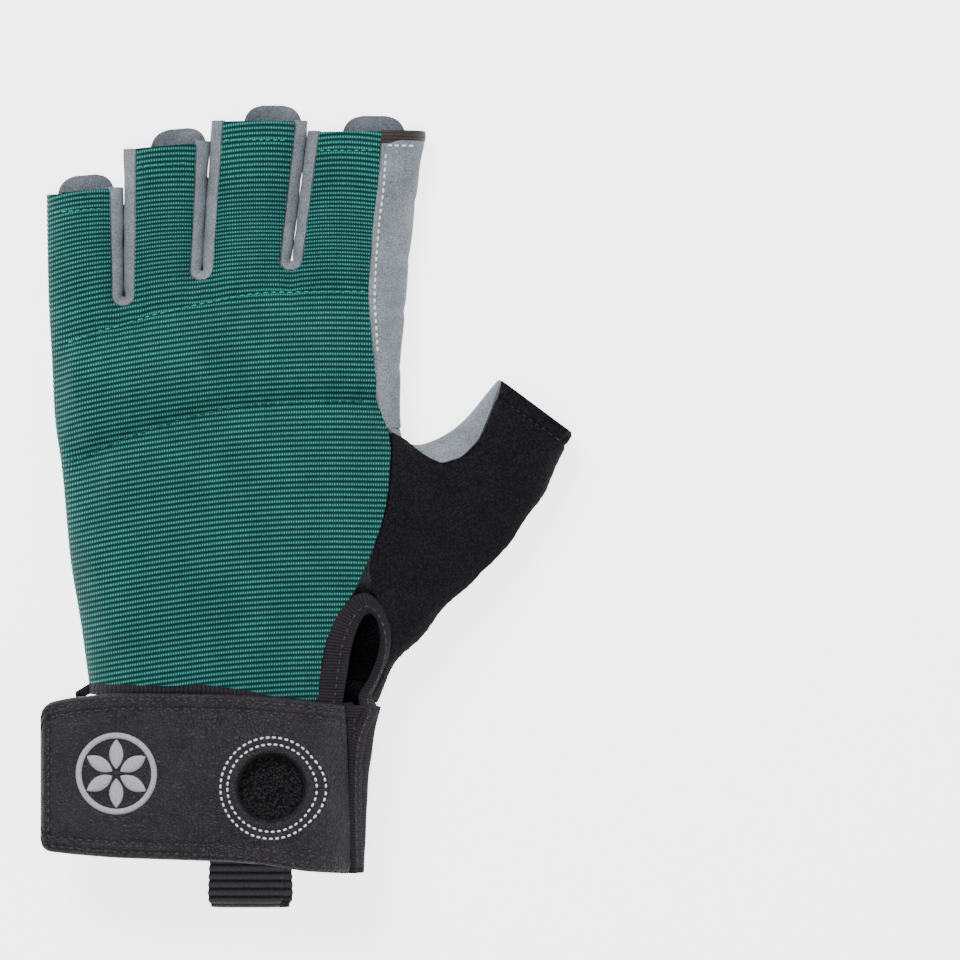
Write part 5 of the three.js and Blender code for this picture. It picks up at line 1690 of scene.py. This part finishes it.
def finger_paths():
    paths = []
    for finger in range(4):
        top = BACK_LENGTH + FINGERS["length"][finger] - FINGER_ROW
        x = row_across(finger, top, ulnar_edge(top) + 2.5, back_edge(top) - 1.0, 1.0)
        paths.append(pair(x, finger_end(finger, x, FINGER_ROW)))
    return paths


def circle(radius):
    angle = np.linspace(0, math.tau, 181)
    return pair(HOLE_X + radius * np.cos(angle), HOLE_Y + radius * np.sin(angle))


def strap_paths():
    along = np.linspace(0.035, 0.985, 120)
    paths = []
    for row in STRAP_ROWS:
        x, low = strap_place(along, np.zeros(120))
        high = strap_place(along, np.ones(120))[1]
        paths.append(pair(x, low + row))
        paths.append(pair(x, high - row))
    up = np.linspace(0.13, 0.87, 40)
    x, y = strap_place(np.full(40, LEFT_ROW / STRAP_LENGTH), up)
    paths.append(pair(x, y))
    return paths


# Stitch lines of the palm, in the plan
PALM_OUTER_LINE = (
    (12.2, 88.7), (-27.8, 88.1), (-34.3, 85.8), (-37.2, 80.4), (-38.2, 71.3), (-38.7, 58.4), (-38, 37.9),
    (-35.9, 9.1), (-23.4, 8), (-7.5, 8), (3.9, 8), (10.7, 10), (16.4, 18.2), (20, 24.2),
)
PALM_INNER_LINE = (
    (8, 76.7), (-23.4, 75.3), (-26, 74.1), (-27.8, 68.4), (-28.9, 61.3), (-29.6, 53), (-30.2, 37.9),
    (-30.2, 19.1), (-20.8, 18.2), (-12.7, 17.1), (-5.2, 17.4), (-0.3, 20), (5.7, 26.2), (12.2, 35.4),
    (19.8, 44.5), (21.1, 46.8), (16.4, 47.3), (3.9, 46.2), (-7.5, 45.9), (-20.8, 45),
)
PALM_DART_LINE = (
    (12.2, 67.6), (1.3, 64.2), (-10.1, 59.6), (-19.5, 56.7), (-16.9, 55.9), (-10.1, 55.3), (1.3, 56.7),
    (13.8, 57.9), (21.3, 57.6),
)
OVERLAY_LINE = (
    (43.9, 120.9), (42.6, 116), (42.1, 111.2), (40.6, 107.5), (38.2, 104.4), (34.8, 100.6), (31.7, 98.4),
    (23.4, 94.1), (15.9, 90.4), (12, 86), (11.6, 80.4), (12.9, 75.6), (16.3, 71.6), (23.4, 71), (33.3, 71),
)
ROOT_LINE = (
    (-42.5, 91.5), (-41.7, 96.7), (-39.8, 100.9), (-38.5, 104.1), (-35.6, 106.6), (-32.2, 104.9),
    (-30.2, 98.7), (-28.1, 94.9), (-23.9, 98.7), (-20.8, 101.2), (-19.5, 105.8), (-16.9, 111.2),
    (-12.7, 113.2), (-9.9, 111.2), (-7, 104.9), (-5.5, 102.4), (-1.3, 104.1), (2.1, 110.3), (4.7, 114.6),
    (8.6, 116.9), (12.7, 114), (14.8, 107.8), (16.9, 103.5), (21.1, 100.9), (27.8, 100.1),
)
TIP_ROWS = (4.0, 6.0)


def palm_paths():
    lines = (PALM_OUTER_LINE, PALM_INNER_LINE, PALM_DART_LINE, ROOT_LINE)
    paths = [rounded(np.array(line)) for line in lines]
    for finger in range(4):
        top = BACK_LENGTH + FINGERS["length"][finger] - FRONT_SHORT - TIP_ROWS[0]
        x = row_across(finger, top, ulnar_edge(top) + 3, radial_edge(top) - 5, 1.5)
        paths += [pair(x, finger_end(finger, x, FRONT_SHORT + row)) for row in TIP_ROWS]
    return paths


def overlay_surface(x, y):
    point, normal, _ = skin(x, y, -1)
    return point - normal * 0.1, normal


def thumb_hem_path():
    across = np.linspace(0.46, -0.3, 30)
    centre = THUMB_ROOT + (THUMB_END - THUMB_HEM) * THUMB_AXIS
    return centre + across[:, None] * THUMB_WIDTH * THUMB_SIDE


def knit_surface(x, y):
    point, normal, _ = skin(x, y, 1)
    return lift(point, normal, knit_relief(x, y) + 0.1), normal


def index_paths():
    """The row beside the green fabric on the index finger, and the one along the hem."""
    levels = np.linspace(0.8 * BACK_LENGTH, BACK_LENGTH + FINGERS["length"][3] - HEM_WIDTH - 1, 60)
    top = levels[-1]
    side_row = pair(back_edge(levels) + 1.2, levels)
    across = np.linspace(back_edge(top) + 1.5, radial_edge(top) - 1.5, 12)
    return [side_row, pair(across, np.full(12, top + 0.3))]


def stitches():
    """Each row of the table: name, paths, surface, material, slot, then length, gap and width of a stitch."""
    overlay = [rounded(np.array(OVERLAY_LINE))]
    rings = [circle(radius) for radius in RING_RADII]
    upper, lower = [quilt_path(UPPER_QUILT)], [quilt_path(LOWER_QUILT)]
    seams = (
        ("palm", palm_paths(), palm_surface, GREY_THREAD, "suede", 1.5, 0.7),
        ("overlay", overlay, overlay_surface, GREY_THREAD, "suede", 1.5, 0.7),
        ("thumb_hem", [thumb_hem_path()], knit_surface, BLACK_THREAD, "black_knit", 1.4, 0.6),
        ("upper_quilt", upper, back_surface, GREEN_THREAD, "green_fabric", 1.5, 0.6),
        ("lower_quilt", lower, back_surface, DARK_THREAD, "green_fabric", 1.6, 0.7),
        ("finger_hem", finger_paths(), back_surface, GREEN_THREAD, "green_fabric", 1.3, 0.5, 0.42),
        ("clip_hole", rings, strap_surface, WHITE_THREAD, "black_leather", 1.15, 0.45, 0.6),
        ("strap", strap_paths(), strap_surface, STRAP_THREAD, "black_leather", 1.5, 0.8, 0.6),
        ("vent", [vent_path()], vent_surface, STRAP_THREAD, "ribbed_binding", 1.3, 0.8, 0.45),
        ("anchor", anchor_paths(), anchor_surface, STRAP_THREAD, "ribbed_binding", 1.3, 0.8, 0.45),
        ("index_side", index_paths(), index_surface, WHITE_THREAD, "suede", 1.2, 0.6, 0.62),
    )
    for name, *seam in seams:
        strands(f"{name}_stitches", *seam)


def index_surface(x, y):
    point, normal, _ = skin(x, y, 1)
    return lift(point, normal, index_relief(x, y) + 0.05), normal


# A plain six-petalled rosette in satin stitch on the strap's free end
ROSETTE_X = -27.6
ROSETTE_Y = -21.0
PETAL_LENGTH = 7.6
PETAL_WIDTH = 3.6
RING_WIDTH = 1.5
PETALS = 6
SATIN_PITCH = 0.42
SATIN_RIDGE = 0.07
RING_RIDGES = 72


def petal(angle, points, faces):
    along = np.linspace(0, 1, 45)
    across = np.linspace(-1, 1, 9)
    half = PETAL_WIDTH / 2 * np.sin(math.pi * along) ** 0.75
    thread_ridge = SATIN_RIDGE * np.abs(np.sin(math.pi * along * PETAL_LENGTH / SATIN_PITCH))
    run = 1.2 + along * PETAL_LENGTH
    outwards = run[:, None] + 0.0 * across
    aside = half[:, None] * across
    x = ROSETTE_X + outwards * math.cos(angle) - aside * math.sin(angle)
    y = ROSETTE_Y + outwards * math.sin(angle) + aside * math.cos(angle)
    height = 0.5 * np.sqrt(np.clip(1 - across**2, 0, 1)) + thread_ridge[:, None] - 0.1
    add_patch(x, y, height, points, faces)


def ring(points, faces):
    angle = np.linspace(0, math.tau, 241)
    across = np.linspace(-1, 1, 7)
    radius = PETAL_LENGTH + 2.2 + RING_WIDTH / 2 * across
    x = ROSETTE_X + radius[None] * np.cos(angle)[:, None]
    y = ROSETTE_Y + radius[None] * np.sin(angle)[:, None]
    ridge = SATIN_RIDGE * np.abs(np.sin(angle * RING_RIDGES))
    height = 0.42 * np.sqrt(np.clip(1 - across**2, 0, 1))[None] + ridge[:, None] - 0.1
    add_patch(x, y, height, points, faces)


def add_patch(x, y, height, points, faces):
    base = sum(len(block) for block in points)
    surface, normal = strap_surface(x, y)
    points.append(lift(surface, normal, height).reshape(-1, 3))
    rows, columns = x.shape
    index = base + np.arange(rows * columns).reshape(rows, columns)
    corner = np.stack([index[:-1, :-1], index[1:, :-1], index[1:, 1:], index[:-1, 1:]], -1)
    faces.append(corner.reshape(-1, 4))


def rosette():
    points, faces = [], []
    for number in range(PETALS):
        petal((number + 0.5) * math.tau / PETALS, points, faces)
    ring(points, faces)
    dress(make_mesh("rosette", np.vstack(points), np.vstack(faces)), SATIN, "black_leather")


def loop_covers():
    side = WEBBING_WIDTH / 2 + 0.022 * HAND_WIDTH
    sewn = CUFF_LENGTH * 0.75
    ulnar = (LOOP_CENTRE - side - 0.05 * HAND_WIDTH - ULNAR_TAPE / 2, ULNAR_TAPE)
    radial = (LOOP_CENTRE + side + RADIAL_TAPE / 2, RADIAL_TAPE)
    tape = (TAPE_WALL, TAPE_REACH, sewn, TAPE_PITCH, HERRINGBONE)
    webbing = (WEBBING_WALL, WEBBING_REACH, 0, WEB_PITCH, WEB)
    tape_cover("pull_loop", LOOP_CENTRE, WEBBING_WIDTH, *webbing, -1.4)
    tape_cover("small_loop_ulnar", *ulnar, *tape, 0.3)
    tape_cover("small_loop_radial", *radial, *tape, -0.3)


def dress_glove():
    back_cover()
    palm_cover()
    thumb_back_cover()
    thumb_front_cover()
    index_side_cover()
    index_hem_cover()
    for slot in range(3):
        fourchette_cover(slot)
    for finger in range(4):
        tab_cover(finger)
    back_hem_cover()
    palm_hem_cover()
    vent_cover()
    cuff_cover()
    loop_patch_cover()
    strap_cover()
    anchor_cover()
    loop_covers()
    stitches()
    rosette()


# The floor, the lights and the camera
FLOOR_SIZE = 6.0
FLOOR_DEPTH = 0.0003
FLOOR_GLOW = 3.0


def stage():
    half = FLOOR_SIZE / 2 / MM
    corners = np.array([[-half, -half, 0], [half, -half, 0], [half, half, 0], [-half, half, 0]])
    floor = make_mesh("floor", corners - SHIFT, [[0, 1, 2, 3]])
    floor.location.z = -FLOOR_DEPTH
    made, tree = blank("pale_floor")
    links = {"Base Color": (0.95, 0.95, 0.95, 1), "Roughness": 0.9}
    links.update({"Emission Color": (1, 1, 1, 1), "Emission Strength": FLOOR_GLOW})
    shader = add(tree, "ShaderNodeBsdfPrincipled", links)
    output = add(tree, "ShaderNodeOutputMaterial")
    tree.links.new(shader.outputs[0], output.inputs[0])
    floor.data.materials.append(made)


# Lamps: name, place and size in metres, power in watts
LAMPS = (
    ("key_light", (-0.35, 0.75, 0.95), 0.5, 18),
    ("fill_light", (0.8, -0.4, 0.9), 0.9, 5),
    ("top_light", (-0.06, -0.16, 1.3), 0.28, 6),
)
SKY_STRENGTH = 0.38


def studio():
    for name, place, size, power in LAMPS:
        lamp = bpy.data.lights.new(name, "AREA")
        lamp.size = size
        lamp.energy = power
        made = bpy.data.objects.new(name, lamp)
        made.location = place
        made.rotation_euler = (-Vector(place)).to_track_quat("-Z", "Y").to_euler()
        bpy.context.scene.collection.objects.link(made)

    world = bpy.data.worlds.new("soft_sky")
    world.use_nodes = True
    sky = world.node_tree.nodes["Background"].inputs
    sky[0].default_value = (1, 1, 1, 1)
    sky[1].default_value = SKY_STRENGTH
    bpy.context.scene.world = world


# The picture is 960 pixels wide at 0.26 mm each, and its middle is at this place of the glove's plan
VIEW_MIDDLE = (66.04, 54.6)
VIEW_WIDTH = 249.6
VIEW_HEIGHT = 1600.0
SENSOR = 36.0


def camera():
    lens = bpy.data.cameras.new("camera")
    lens.sensor_width = SENSOR
    lens.lens = SENSOR * (VIEW_HEIGHT - HAND_HEIGHT / 2) / VIEW_WIDTH
    lens.clip_end = 20
    made = bpy.data.objects.new("camera", lens)
    made.location = ((VIEW_MIDDLE[0] + SHIFT[0]) * MM, (VIEW_MIDDLE[1] + SHIFT[1]) * MM, VIEW_HEIGHT * MM)
    bpy.context.scene.collection.objects.link(made)
    bpy.context.scene.camera = made


dress_glove()
stage()
studio()
camera()
